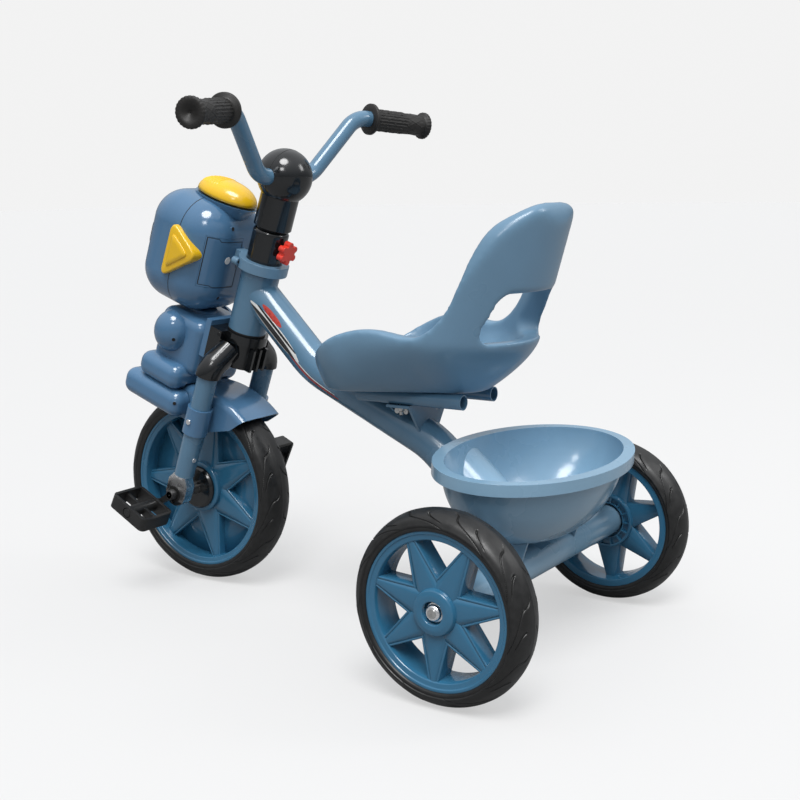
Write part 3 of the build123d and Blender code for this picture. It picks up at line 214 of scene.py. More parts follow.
def lathe(name, profile, matrix, material, steps=160, closed=True):
    """Turn a profile of (radius, y) in millimetres about the local Y axis."""
    prof = np.array(profile, float) / 1000
    ang = np.linspace(0, 2 * math.pi, steps, endpoint=False)
    pts = np.zeros((steps, len(prof), 3))
    pts[..., 0] = np.cos(ang)[:, None] * prof[:, 0]
    pts[..., 2] = np.sin(ang)[:, None] * prof[:, 0]
    pts[..., 1] = prof[:, 1]
    o = grid_object(name, pts, material, wrap_rows=True, wrap_cols=closed)
    o.data.transform(matrix)
    return o


def rounded(profile, radius=0.6, steps=3):
    """Round the corners of a closed profile with small arcs."""
    pts = [Vector(p) for p in profile]
    out = []
    n = len(pts)
    for i, p in enumerate(pts):
        a, b = pts[i - 1] - p, pts[(i + 1) % n] - p
        r = min(radius, a.length * 0.45, b.length * 0.45)
        if r < 1e-6 or abs(a.normalized().dot(b.normalized())) > 0.999:
            out.append(tuple(p))
            continue
        s, e = p + a.normalized() * r, p + b.normalized() * r
        for k in range(steps + 1):
            u = k / steps
            out.append(tuple((1 - u) ** 2 * s + 2 * u * (1 - u) * p + u * u * e))
    return out


def curve_through(points, count):
    """Evenly placed points on a smooth curve through the given points."""
    p = np.array(points, float)
    p = np.vstack([2 * p[0] - p[1], p, 2 * p[-1] - p[-2]])
    out = []
    for i in range(1, len(p) - 2):
        for u in np.linspace(0, 1, 24, endpoint=False):
            a, b, c, d = p[i - 1], p[i], p[i + 1], p[i + 2]
            out.append(0.5 * (2 * b + (c - a) * u + (2 * a - 5 * b + 4 * c - d) * u ** 2
                              + (3 * b - a - 3 * c + d) * u ** 3))
    out.append(p[-2])
    out = np.array(out)
    seg = np.r_[0, np.cumsum(np.linalg.norm(np.diff(out, axis=0), axis=1))]
    s = np.linspace(0, seg[-1], count)
    return np.stack([np.interp(s, seg, out[:, k]) for k in range(out.shape[1])], -1)


def soft_copy(node, width=0.7, segments=2, angle=32, name=None, material=None):
    """A copy of a CAD piece with small rounded edges that catch the light."""
    src = nodes[node]
    mesh = src.data.copy()
    bm = bmesh.new()
    bm.from_mesh(mesh)
    bmesh.ops.remove_doubles(bm, verts=bm.verts, dist=2e-6)
    bmesh.ops.dissolve_limit(bm, angle_limit=math.radians(0.6), verts=bm.verts, edges=bm.edges)
    bm.to_mesh(mesh)
    bm.free()
    if mesh.has_custom_normals:
        mesh.free_normals_split() if hasattr(mesh, "free_normals_split") else None
    mesh.materials.clear()
    o = link(name or node + "_soft", mesh, material or finish_of(node))
    mesh.polygons.foreach_set("use_smooth", [True] * len(mesh.polygons))
    bev = o.modifiers.new("bevel", "BEVEL")
    bev.width = mm(width)
    bev.segments = segments
    bev.limit_method = "ANGLE"
    bev.angle_limit = math.radians(angle)
    bev.harden_normals = True
    bev.use_clamp_overlap = True
    o.modifiers.new("normals", "WEIGHTED_NORMAL").keep_sharp = False
    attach(o, body_of_node(node))
    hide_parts(node)
    return o


BODY = {n: b for b, ns in frame["record"]["behaviour"]["bodies"].items() for n in ns}


def body_of_node(node):
    return BODY[node]


def box(xs, ys, zs):
    """Vertices and faces of a box between limits in millimetres."""
    verts = [mm(x, y, z) for x in xs for y in ys for z in zs]
    faces = [(0, 1, 3, 2), (4, 6, 7, 5), (0, 4, 5, 1), (2, 3, 7, 6), (0, 2, 6, 4), (1, 5, 7, 3)]
    return verts, faces


def own(o, body, slot, *replaced):
    """Fix a new piece to its body and hide the CAD pieces it stands for; its slot is not used."""
    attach(o, body)
    if replaced:
        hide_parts(*replaced)
    return o


def bake(o):
    """Apply a piece's modifiers to its mesh."""
    dg = bpy.context.evaluated_depsgraph_get()
    mesh = bpy.data.meshes.new_from_object(o.evaluated_get(dg))
    o.modifiers.clear()
    o.data = mesh


def molten(node, voxel, rounds, name=None, crown=None):
    """A moulded version of a CAD piece: a fine even mesh, eased so that every edge is rolled."""
    src = nodes[node]
    mesh = src.data.copy()
    bm = bmesh.new()
    bm.from_mesh(mesh)
    bmesh.ops.remove_doubles(bm, verts=bm.verts, dist=2e-6)
    bm.to_mesh(mesh)
    bm.free()
    mesh.materials.clear()
    o = link(name or node + "_moulded", mesh, finish_of(node))
    r = o.modifiers.new("remesh", "REMESH")
    r.mode = "VOXEL"
    r.voxel_size = mm(voxel)
    r.use_smooth_shade = True
    s = o.modifiers.new("ease", "SMOOTH")
    s.factor = 0.5
    s.iterations = rounds
    bake(o)
    fixed = o.data
    if crown:
        low, high, more = crown
        group = o.vertex_groups.new(name="crown")
        for v in fixed.vertices:
            share = (v.co.z * 1000 - low) / (high - low)
            if share > 0:
                group.add([v.index], min(1.0, share), "REPLACE")
        c = o.modifiers.new("crown", "SMOOTH")
        c.factor = 0.5
        c.iterations = more
        c.vertex_group = "crown"
        bake(o)
        fixed = o.data
        o.vertex_groups.clear()
    if not fixed.materials:
        fixed.materials.append(finish_of(node))
    fixed.polygons.foreach_set("use_smooth", [True] * len(fixed.polygons))
    own(o, body_of_node(node), NODE_SLOT[node], node)
    return o


# ------------------------------------------------------------------ tyres
def tyre(name, radius, rim, width, matrix, body, replaced, count, phase):
    half = width / 2
    key = [(rim - 0.6, half - 3.2), (rim + 0.5, half - 1.4), (rim + 3.5, half - 0.4), (rim + 5.2, half + 0.0),
           (radius - 12, half - 0.6), (radius - 7, half - 3.6), (radius - 3.2, half - 9.5), (radius - 0.9, half - 16.5),
           (radius, 0)]
    side = curve_through(key, 70)
    prof = np.vstack([side, side[-2::-1] * [1, -1]])
    steps = 1500
    ang = np.linspace(0, 2 * math.pi, steps, endpoint=False)
    arc = np.r_[0, np.cumsum(np.linalg.norm(np.diff(prof, axis=0), axis=1))]
    arc = arc - arc[len(side) - 1]
    tangent = np.gradient(prof, axis=0)
    tangent /= np.linalg.norm(tangent, axis=1)[:, None]
    normal = np.stack([tangent[:, 1], -tangent[:, 0]], -1) * -1
    if normal[len(side) - 1][0] < 0:
        normal = -normal
    reach = arc[-1]
    s = np.abs(arc)[None, :] / reach
    sign = np.sign(arc)[None, :]
    depth = np.zeros((steps, len(prof)))
    pitch = 2 * math.pi / count
    for family, lean, amp in ((0.0, 0.78, 0.085), (0.5, 0.62, 0.07)):
        start, stop = (0.06, 0.84) if family == 0 else (0.30, 0.66)
        shift = phase + family * pitch + np.where(sign > 0, 0.0, 0.5) * pitch
        line = shift + lean * s + amp * np.sin(s * 2 * math.pi * 1.25 + 0.9)
        d = (ang[:, None] - line + math.pi * 40) % pitch
        d = np.minimum(d, pitch - d) * radius
        wide = 1.8
        cut = np.clip(1 - d / wide, 0, 1)
        cut = cut * cut * (3 - 2 * cut)
        fade = np.clip((s - start) / 0.06, 0, 1) * np.clip((stop - s) / 0.05, 0, 1)
        lip = np.exp(-((d - 2.4) / 0.9) ** 2) * 0.25
        depth = np.maximum(depth, cut * fade * 2.1) - lip * fade * 1.0
    ringcut = np.exp(-(((s - 0.845) * reach) / 0.75) ** 2) * 0.9
    depth = depth + ringcut
    prof3 = np.zeros((steps, len(prof), 2))
    prof3[:] = prof[None]
    prof3 -= depth[..., None] * normal[None]
    prof3 /= 1000
    outer = np.zeros((steps, len(prof), 3))
    outer[..., 0] = np.cos(ang)[:, None] * prof3[..., 0]
    outer[..., 2] = np.sin(ang)[:, None] * prof3[..., 0]
    outer[..., 1] = prof3[..., 1]
    o = grid_object(name, outer, "tyre", wrap_rows=True, wrap_cols=True)
    o.data.transform(matrix)
    return own(o, body, "tyre", replaced)


# ------------------------------------------------------------------ rims
def rim(name, radius, edge, face, depth, hub_outer, matrix, body, replaced, first, front=False):
    """Rim band, seven star spokes and hub, joined as one moulded wheel. face is the outer side in +Y."""
    parts = []
    lip = 9.5
    band = [(radius, -edge), (radius, edge), (radius - 3.2, edge), (radius - 4.0, edge - 1.2), (radius - lip + 0.8, edge - 1.6),
            (radius - lip, edge - 2.4), (radius - lip - 1.2, face - 3), (radius - lip - 1.2, face - depth + 4),
            (radius - lip + 0.5, -edge + 2), (radius - lip + 1.2, -edge)]
    parts.append(lathe(name + "_band", rounded(band, 0.8), Matrix.Identity(4), "rim", 220))
    root, tip = max(hub_outer - 4, 21), radius - lip + 1.0
    meet, tip_half = 31.0, 5.6
    if front:
        meet, tip_half = 40.0, 6.6
    slope = (meet * math.tan(math.pi / 7) - tip_half) / (tip - meet)
    rs = np.linspace(root, tip, 26)
    for k in range(7):
        rows = []
        for r in rs:
            h = tip_half + slope * (tip - r)
            g = min(2.6, h * 0.42)
            swell = 0.9 * (1 - (r - root) / (tip - root)) + 0.5
            sec = [(-h + 0.8, face - depth), (-h, face - depth + 0.8), (-h, face - 1.0), (-h + 0.25, face - 0.3), (-h + 0.9, face),
                   (-h + g - 0.55, face + 0.1), (-h + g - 0.25, face - 0.75), (-h + g + 0.25, face - 0.75),
                   (-h + g + 0.55, face + 0.15), (-0.5 * (h - g), face + 0.15 + swell * 0.5), (0, face + 0.15 + swell * 0.62)]
            sec = sec + [(-x, y) for x, y in reversed(sec[:-1])]
            rows.append([(r, y, x) for x, y in sec])
        pts = np.array(rows) / 1000
        o = grid_object(f"{name}_spoke{k}", pts, "rim", wrap_cols=True)
        o.data.transform(Matrix.Rotation(-math.radians(first + k * 360 / 7), 4, "Y"))
        parts.append(o)
    if front:
        hub = [(6, -20), (30, -20), (33, -18.5), (33, 18.5), (30, 20), (6, 20)]
    else:
        hub = [(8.5, -3), (22, -3), (22, face - 1), (24.5, face + 0.2), (24, face + 2.4), (22.6, 22.0), (17.5, 23.2), (12.5, 23.2),
               (11.6, 22.6), (11.2, 14.5), (8.5, 14.5)]
    parts.append(lathe(name + "_hub", rounded(hub, 1.2, 4), Matrix.Identity(4), "rim", 120))
    back = face - depth
    if front:
        plate = [(30, back - 0.4), (meet + 1, back - 0.4), (meet + 1, back + 3), (30, back + 3)]
        parts.append(lathe(name + "_plate", rounded(plate, 0.5), Matrix.Identity(4), "rim", 120))
        web = [(30, -1.5), (radius - lip, -1.5), (radius - lip, 1.5), (30, 1.5)]
        parts.append(lathe(name + "_web", web, Matrix.Identity(4), "rim", 160))
    else:
        plate = [(21.2, back + 2), (21.2, back - 3), (23, back - 3), (23, back - 0.4), (30, back - 0.4), (30, back - 4.5),
                 (33, back - 4.5), (34, back + 2)]
        parts.append(lathe(name + "_back", rounded(plate, 0.5), Matrix.Identity(4), "rim", 120))
        for k in range(14):
            rib = build(f"{name}_rib{k}", *box((22, 31), (back - 4, back), (-0.9, 0.9)), "rim", smooth=False)
            rib.data.transform(Matrix.Rotation(2 * math.pi * k / 14, 4, "Y"))
            parts.append(rib)
    bpy.ops.object.select_all(action="DESELECT")
    for o in parts:
        o.select_set(True)
    bpy.context.view_layer.objects.active = parts[0]
    bpy.ops.object.join()
    o = parts[0]
    o.name = name
    bm = bmesh.new()
    bm.from_mesh(o.data)
    bmesh.ops.recalc_face_normals(bm, faces=bm.faces)
    bm.to_mesh(o.data)
    bm.free()
    o.data.transform(matrix)
    return own(o, body, "blue_rim", replaced)


def side_matrix(side, at):
    """Local +Y as the outer face of a wheel on that side."""
    flip = Matrix.Identity(4) if side > 0 else Matrix.Scale(-1, 4, (0, 1, 0))
    return Matrix.Translation(at) @ flip


for side, label, first in ((1, "left", 15.9), (-1, "right", 8.4)):
    at = Vector((REAR_X, side * TRACK_HALF, REAR_R))
    body = f"rear_{label}_wheel"
    tyre(f"{label}_tread", 100, 81, 45, side_matrix(side, at), body, f"rear_{label}_tyre", 11, 0.15 * side)
    rim(f"{label}_wheel_rim", 81, 19.5, 16.5, 24, 22, side_matrix(side, at), body, f"rear_{label}_rim", first)
front_at = Matrix.Translation(FRONT_AXLE)
tyre("front_tread", 125, 104, 50, front_at, "front_wheel", "front_tyre", 13, 0.3)
rim("front_wheel_rim", 104, 22.0, 12.0, 24, 31, front_at, "front_wheel", "front_rim", 1.9, front=True)


# ------------------------------------------------------------------ moulded pieces
molten("seat", 2.2, 26, crown=(430, 485, 120))
for n in ("basket_brackets", "seat_bracket", "axle_washers", "fork_screws", "fork_dropouts",
          "left_pedal", "right_pedal", "clamp_ring", "stem_collar",
          "front_hub_caps", "rear_axle"):
    soft_copy(n, 0.6)
for n in ("head_front_shell", "head_rear_shell", "battery_door", "body_front_shell", "body_rear_shell"):
    soft_copy(n, 0.5, 2, 40)
soft_copy("clamp_knob", 1.3, 3)
soft_copy("shoulder_pods", 1.5, 3)
soft_copy("mudguard", 1.2, 3)
soft_copy("fork_crown", 1.4, 3)
soft_copy("basket", 1.2, 3)


# ------------------------------------------------------------------ small surface details
def surface_of(*names):
    """A search tree over CAD pieces, in world space."""
    bm = bmesh.new()
    for n in names:
        bm.from_mesh(nodes[n].data)
    tree = BVHTree.FromBMesh(bm)
    bm.free()
    return tree


def laid(name, tree, points, towards, lift, material, wrap_cols=False):
    """A thin skin laid on a surface: a grid of points thrown along -towards, lifted by lift millimetres."""
    rows, cols = points.shape[:2]
    out = np.zeros((rows + 1, cols, 3)) if wrap_cols else np.zeros((rows, cols, 3))
    for i in range(rows):
        for j in range(cols):
            p = Vector(points[i, j])
            hit, normal, _, _ = tree.ray_cast(p + towards * 0.02, -towards, 0.05)
            out[i, j] = hit + towards * mm(lift) if hit is not None else p
    if wrap_cols:
        out[rows] = out[rows - 1] - np.array(towards) * mm(lift + 0.3)
    return grid_object(name, out, material, wrap_cols=wrap_cols)


def spot(name, node, at, towards, radius, material, slot, lift=0.15, stretch=1.0, frame_of=STEER):
    """A round or oval patch on a piece, at a point given in millimetres in the steering frame."""
    centre = frame_of @ Vector(mm(*at))
    out = (frame_of.to_3x3() @ Vector(towards)).normalized()
    across = out.cross(Vector((0, 0, 1))).normalized()
    upward = across.cross(out)
    rho = np.array([0.001, 0.35, 0.7, 0.9, 1.0])
    ang = np.linspace(0, 2 * math.pi, 28, endpoint=False)
    pts = np.zeros((len(rho), len(ang), 3))
    for i, r in enumerate(rho):
        for j, a in enumerate(ang):
            pts[i, j] = centre + across * (mm(radius) * r * math.cos(a) * stretch) + upward * (mm(radius) * r * math.sin(a))
    o = laid(name, surface_of(node), pts, out, lift, material, wrap_cols=True)
    return own(o, body_of_node(node), slot)


def screw_hole(name, node, at, towards, radius=2.3):
    """A screw hole as a dark disc of painted shade, with a fine raised rim."""
    spot(name + "_rim", node, at, towards, radius * 1.35, finish_of(node), NODE_SLOT[node], lift=0.12)
    # the dark disc is painted shade standing in for the depth of the hole
    spot(name, node, at, towards, radius, "hole", "black_moulding", lift=0.25)


def line_on(name, names, points, towards, width, body, material="hole", slot="black_moulding", lift=0.10, frame_of=STEER):
    """A fine line laid on a surface through the given points, in millimetres."""
    path = curve_sharp(points, 1.2)
    out = (frame_of.to_3x3() @ Vector(towards)).normalized()
    pts = np.array([frame_of @ Vector(mm(*p)) for p in path])
    run = np.gradient(pts, axis=0)
    side = np.cross(run, np.array(out))
    side /= np.linalg.norm(side, axis=1)[:, None]
    grid = np.stack([pts - side * mm(width) / 2, pts + side * mm(width) / 2], 1)
    o = laid(name, surface_of(*names), grid, out, lift, material)
    return own(o, body, slot)


def curve_sharp(points, step):
    """Points about step apart along a polyline."""
    out = []
    for a, b in zip(points[:-1], points[1:]):
        a, b = np.array(a, float), np.array(b, float)
        n = max(2, int(np.linalg.norm(b - a) / step))
        out += [a + (b - a) * k / n for k in range(n)]
    return out + [np.array(points[-1], float)]


REAR_FACE = (-1, 0, 0)
for name, node, at, towards in (
        ("ball_screw_hole", "stem_ball_rear", (-25.2, 1.8, 442.9), (-0.74, 0.05, 0.67)),
        ("head_screw_hole_top", "head_rear_shell", (43.1, 18.3, 338.8), (-0.95, 0.30, 0.05)),
        ("head_screw_hole_low", "head_rear_shell", (42.7, 17.8, 247.8), (-0.96, 0.20, -0.15)),
        ("shoulder_screw_hole", "shoulder_pods", (64.4, 56.6, 186.4), (-0.71, 0.69, -0.08)),
        ("body_screw_hole", "body_rear_shell", (37.3, 59.6, 110.2), (-0.54, 0.84, 0.09)),
        ("crown_screw", "fork_crown", (11.8, 38.0, 214.1), (0, 1, 0))):
    screw_hole(name, node, at, towards)
# the slot is a dark oval patch of painted shade laid on the ball
spot("ball_slot", "stem_ball_rear", (-21.0, 18.6, 402.7), (-0.62, 0.54, -0.56), 2.2, "hole", "black_moulding", 0.2, 2.2)
spot("door_dot", "battery_door", (40.5, 18.4, 298.5), REAR_FACE, 4.6, "white", "blue_moulding", 0.2)
door_line = [(40, 48.6, 325.8), (40, 37, 325.8), (40, 34, 322.5), (40, -0.9, 322.5), (40, -0.9, 303), (40, 1, 301),
             (40, 1, 290), (40, -0.9, 288), (40, -0.9, 263.2), (40, 34, 263.2), (40, 37, 265), (40, 48.6, 265),
             (40, 48.6, 325.8)]
line_on("door_line", ("battery_door", "head_rear_shell"), door_line, REAR_FACE, 0.8, "steering")


def head_seam():
    """The dark joint between the two halves of the head: a strip round its rounded section."""
    half_y, half_t, corner, centre_t, seam_d = 59.0, 71.5, 41.0, 291.5, 92.5
    path = []
    for quarter in range(4):
        cy = (half_y - corner) * (1 if quarter in (0, 3) else -1)
        ct = (half_t - corner) * (1 if quarter in (0, 1) else -1)
        for a in np.linspace(quarter * math.pi / 2, (quarter + 1) * math.pi / 2, 14):
            path.append((cy + corner * math.cos(a), centre_t + ct + corner * math.sin(a), math.cos(a), math.sin(a)))
    rows = []
    for y, t, ny, nt in path:
        rows.append([(seam_d - 0.5, y - 0.3 * ny, t - 0.3 * nt), (seam_d - 0.5, y + 0.12 * ny, t + 0.12 * nt),
                     (seam_d + 0.5, y + 0.12 * ny, t + 0.12 * nt), (seam_d + 0.5, y - 0.3 * ny, t - 0.3 * nt)])
    o = grid_object("head_seam", np.array(rows) / 1000, "hole", wrap_rows=True)
    o.data.transform(STEER)
    own(o, "steering", "black_moulding")


head_seam()


def tube_band(name, s_low, s_high, v_low, v_high, material, slot, lift, taper=0.0, lean=0.0):
    """A printed band on the rider's-left side of the main tube, from s_low to s_high along it."""
    run = curve_through([(126, 375), (85, 334), (50, 299), (30, 283), (0, 267), (-60, 240)], 400)
    seg = np.r_[0, np.cumsum(np.linalg.norm(np.diff(run, axis=0), axis=1))]
    tangent = np.gradient(run, axis=0)
    tangent /= np.linalg.norm(tangent, axis=1)[:, None]
    rows = []
    for s in np.linspace(s_low, s_high, 60):
        u = (s - s_low) / (s_high - s_low)
        shrink = 1 - taper * abs(2 * u - 1) ** 3
        middle = (v_low + v_high) / 2
        row = []
        for k in np.linspace(0, 1, 7):
            v = middle + (v_low + (v_high - v_low) * k - middle) * shrink
            at = s + lean * v
            x, z = (np.interp(at, seg, run[:, c]) for c in (0, 1))
            tx, tz = (np.interp(at, seg, tangent[:, c]) for c in (0, 1))
            row.append((x + tz * v, 30, z - tx * v))
        rows.append(row)
    o = laid(name, surface_of("main_tube"), np.array(rows) / 1000, Vector((0, 1, 0)), lift, material)
    own(o, "frame", slot)


tube_band("band_white", 3, 104, -9.5, 4.5, "decal_white", "blue_paint", 0.12, 0.9, 0.5)
tube_band("band_black", 6, 100, -8.3, -1.2, "decal_black", "blue_paint", 0.22, 0.9, 0.5)
tube_band("band_grey", 12, 92, 0.2, 3.2, "decal_black", "blue_paint", 0.22, 0.6, 0.5)
tube_band("band_red", 14, 52, 4.0, 10.5, "decal_red", "blue_paint", 0.20, 0.8, 0.5)
tube_band("tail_red", 88, 172, -7.5, -5.0, "decal_red", "blue_paint", 0.20, 0.5)
tube_band("tail_white", 90, 166, -4.4, -3.0, "decal_white", "blue_paint", 0.20, 0.5)


# ------------------------------------------------------------------ grips and button
def grip(side):
    """A rubber grip: an inner flange, a sleeve with raised diagonal ribs and a notched end."""
    label = "left" if side > 0 else "right"
    shoulder = Vector(mm(3, 115, 497))
    end = Vector(mm(-31, 217, 500.5))
    along = (end - shoulder).normalized()
    out_r = [(0.5, -87), (10.2, -87), (18.8, -87), (19.5, -86.2), (19.5, -83.2), (18.6, -82.3), (14.5, -82), (13.1, -80.5)]
    prof = out_r + [(13.0, y) for y in np.linspace(-79, -5, 90)] + [(13.4, -3.5), (16.2, -2.4), (17.0, -1.2), (17.0, 2.0),
                                                                    (16.3, 2.9), (9.0, 3.0), (8.6, 2.2), (2.6, 2.2), (2.5, 1.0), (0.5, 1.0)]
    prof = np.array(prof, float)
    steps = 260
    ang = np.linspace(0, 2 * math.pi, steps, endpoint=False)[:, None]
    r = np.repeat(prof[None, :, 0], steps, 0)
    y = np.repeat(prof[None, :, 1], steps, 0)
    on_sleeve = (y > -78) & (y < -6)
    ribs = 0.75 * np.clip(np.sin(ang * 22 + 0.0 * y), 0, 1) ** 0.7
    cross = 0.5 * (np.abs(((ang * 13 + y * 0.42) % 9.0) - 4.5) < 0.55) + 0.5 * (np.abs(((ang * 13 - y * 0.42) % 9.0) - 4.5) < 0.55)
    far = 1 / (1 + np.exp((y + 34) / 1.0))
    r = r + np.where(on_sleeve, ribs * far + cross * 0.6, 0)
    edge = (prof[None, :, 0] > 16) & (y > -3)
    r = r - np.where(edge, 0.35 * (np.sin(ang * 24) > 0.1), 0)
    pts = np.zeros((steps, len(prof), 3))
    pts[..., 0] = np.cos(ang) * r
    pts[..., 2] = np.sin(ang) * r
    pts[..., 1] = y
    o = grid_object(f"{label}_grip_rubber", pts / 1000, "grip", wrap_rows=True)
    z_axis = along
    x_axis = Vector((0, 0, 1)).cross(z_axis).normalized()
    turn = Matrix((x_axis, z_axis, x_axis.cross(z_axis))).transposed().to_4x4()
    place = STEER @ Matrix.Translation(end) @ turn
    if side < 0:
        place = Matrix.Scale(-1, 4, (0, 1, 0)) @ place
    o.data.transform(place)
    own(o, "steering", "black_grip", f"{label}_grip")


grip(1)
grip(-1)


def button_cap():
    """The yellow dome with raised ribs across its front half."""
    rho = np.linspace(0.001, 1, 70)
    ang = np.linspace(0, 2 * math.pi, 200, endpoint=False)
    a, q = np.meshgrid(ang, rho)
    d, y = 44 * q * np.cos(a), 28 * q * np.sin(a)
    t = 21 * np.sqrt(np.clip(1 - q ** 2.3, 0, 1))
    inside = np.clip((0.86 - np.hypot((d - 10) / 36, y / 25)) / 0.05, 0, 1) * np.clip((d - 1) / 1.5, 0, 1)
    t = t + inside * 1.0 * np.clip(np.sin(2 * math.pi * d / 4.2), -0.2, 1)
    pts = np.stack([d, y, t], -1)
    skirt = pts[-1:] * [1, 1, 0]
    under = skirt * [0.93, 0.93, 0] + [0, 0, 0.5]
    pts = np.concatenate([pts, skirt, under]) / 1000
    o = grid_object("button_cap", pts, "yellow", wrap_cols=True)
    base_t = nodes_low_t("top_button", 40)
    o.data.transform(STEER @ Matrix.Translation(mm(79.5, 0, base_t)))
    own(o, "top_button", "yellow", "top_button")


def nodes_low_t(node, reach):
    """Height up the steering axis of a piece's rim, reach millimetres from its middle."""
    inverse = STEER.inverted()
    local = [inverse @ v.co for v in nodes[node].data.vertices]
    middle = sum(v.x for v in local) / len(local)
    return min(v.z for v in local if abs(v.x - middle) > mm(reach) * 0.7) * 1000


button_cap()


def lamp_pad(side):
    """The raised inner panel of a side lamp."""
    corners = np.array([(100.5, 332.5), (49.5, 301.5), (102.5, 256.5)])
    centre = corners.mean(0)
    label = "left" if side > 0 else "right"
    sections = {
        f"lamp_{label}": (1.0, 15, ((1.0, 42), (1.0, 62.4), (0.985, 64.4), (0.955, 65.6), (0.91, 66), (0.5, 66), (0.01, 66))),
        f"lamp_pad_{label}": (0.60, 7, ((1.0, 64.5), (1.0, 67.0), (0.96, 67.7), (0.5, 67.8), (0.01, 67.8)))}
    for name, (size, corner, steps) in sections.items():
        outline = centre + (corners - centre) * size
        loop = rounded([tuple(p) for p in outline], corner, 8)
        rows = []
        for shrink, y in steps:
            rows.append([(centre[0] + (d - centre[0]) * shrink, y * side, centre[1] + (t - centre[1]) * shrink)
                         for d, t in loop])
        o = grid_object(name, np.array(rows) / 1000, "yellow", wrap_cols=True)
        o.data.transform(STEER)
        own(o, "steering", "yellow")
        if size == 1.0:
            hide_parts("side_lamps")


lamp_pad(1)
lamp_pad(-1)


# ------------------------------------------------------------------ bolts, nuts and bosses
def joined(name, parts, body, slot, *replaced):
    """Several meshes as one piece."""
    bpy.ops.object.select_all(action="DESELECT")
    for o in parts:
        o.select_set(True)
    bpy.context.view_layer.objects.active = parts[0]
    bpy.ops.object.join()
    parts[0].name = name
    return own(parts[0], body, slot, *replaced)


def axle_nut(side):
    """A round-shouldered lock nut in the hub's recess, with the dark end of the axle inside it."""
    seat = TRACK_HALF * 1000 + 16.2
    label = "left" if side > 0 else "right"
    place = Matrix.Translation((REAR_X, 0, REAR_R)) @ (Matrix.Identity(4) if side > 0 else Matrix.Scale(-1, 4, (0, 1, 0)))
    nut = [(3.4, seat), (10.2, seat), (10.2, seat + 1.4), (7.9, seat + 1.6), (8.4, seat + 2.6), (8.2, seat + 5.2),
           (6.6, seat + 7.0), (4.6, seat + 7.2), (3.4, seat + 6.4)]
    own(lathe(f"lock_nut_{label}", rounded(nut, 0.5, 3), place, "chrome", 6 * 16), "frame", "chrome", "axle_nuts")
    core = [(0.2, seat), (3.9, seat), (3.9, seat + 5.2), (3.0, seat + 5.9), (0.2, seat + 5.9)]
    own(lathe(f"axle_end_{label}", core, place, "satin", 48), "frame", "zinc")


axle_nut(1)
axle_nut(-1)


def wing_bolt(side):
    """A small bright bolt with two rounded ears under the seat bracket."""
    x, y, top = REAR_X * 1000 + 154, 33.4 * side, 264.0
    label = "left" if side > 0 else "right"
    upright = Matrix.Translation(mm(x, y, top)) @ Matrix.Rotation(math.radians(90), 4, "X")
    shank = [(0.2, -12), (3, -12), (3, -8), (4.6, -7), (4.6, -3), (3, -2.8), (3, 0), (0.2, 0)]
    parts = [lathe("wing_bolt", rounded(shank, 0.5), upright, "zinc", 40)]
    for ear in (-1, 1):
        at = Matrix.Translation(mm(x + 6 * ear, y, top - 7.5))
        parts.append(lathe("ear", rounded([(0.2, -1), (3.4, -1), (3.4, 1), (0.2, 1)], 0.6), at, "zinc", 32))
    joined(f"wing_bolt_{label}", parts, "frame", "chrome", "seat_bolts")


def crank(side):
    """A slim forged crank arm with its boss, spindle and end cap, turned to the crank's angle."""
    label = "left" if side > 0 else "right"
    turn = math.radians(31 if side > 0 else 211)
    place = Matrix.Translation(FRONT_AXLE) @ (Matrix.Identity(4) if side > 0 else Matrix.Scale(-1, 4, (0, 1, 0)))
    place = place @ Matrix.Rotation(turn, 4, "Y")
    pin = place @ Matrix.Translation(mm(28, 0, 0))
    boss = [(0.2, 65.2), (5.6, 65.2), (6.6, 66.6), (6.6, 72.6), (5.2, 74.2), (0.2, 74.2)]
    tip = [(0.2, 67.4), (6.2, 67.4), (6.4, 68), (6.4, 73.6), (5.6, 74.2), (3.9, 74.4), (3.9, 122), (5.6, 122.4), (5.6, 125), (0.2, 125)]
    web = [mm(a, b, c) for a, b, c in ((0, 68, -4.8), (28, 68, -3.8), (28, 68, 3.8), (0, 68, 4.8),
                                       (0, 73.2, -4.0), (28, 73.2, -3.2), (28, 73.2, 3.2), (0, 73.2, 4.0))]
    sides = [(0, 1, 2, 3), (7, 6, 5, 4), (0, 4, 5, 1), (1, 5, 6, 2), (2, 6, 7, 3), (3, 7, 4, 0)]
    arm = build("arm", web, sides, "satin", smooth=False)
    arm.data.transform(place)
    parts = [lathe("boss", rounded(boss, 0.6), place, "satin", 48), lathe("tip", rounded(tip, 0.4), pin, "satin", 48), arm]
    joined(f"crank_{label}", parts, "front_wheel", "black_moulding", f"{label}_crank_arm")


for side in (1, -1):
    wing_bolt(side)
    crank(side)


def clamp_boss():
    """The round lug with a screw hole at the left end of the clamp ring."""
    at = STEER @ Matrix.Translation(mm(24, 28.5, 307.7)) @ Matrix.Rotation(math.radians(90), 4, "Z")
    profile = rounded([(0.2, 0), (4.6, 0), (4.6, 9), (0.2, 9)], 0.8)
    own(lathe("clamp_lug", profile, at, "mould", 48), "steering", "blue_moulding")
    # the screw hole is a thin dark disc of painted shade on the lug's end
    hole = rounded([(0.2, 8.5), (2.1, 8.5), (2.1, 9.3), (0.2, 9.3)], 0.1)
    own(lathe("clamp_lug_hole", hole, at, "hole", 32), "steering", "black_moulding")


clamp_boss()


def ball_seam():
    """The dark joint between the halves of the ball."""
    a = np.linspace(0, 2 * math.pi, 90, endpoint=False)
    rows = []
    for angle in a:
        rows.append([(d, r * math.cos(angle), 421 + r * math.sin(angle))
                     for d, r in ((-0.4, 33.3), (-0.4, 33.62), (0.4, 33.62), (0.4, 33.3))])
    o = grid_object("ball_seam", np.array(rows) / 1000, "hole", wrap_rows=True)
    o.data.transform(STEER)
    own(o, "steering", "black_moulding")


ball_seam()


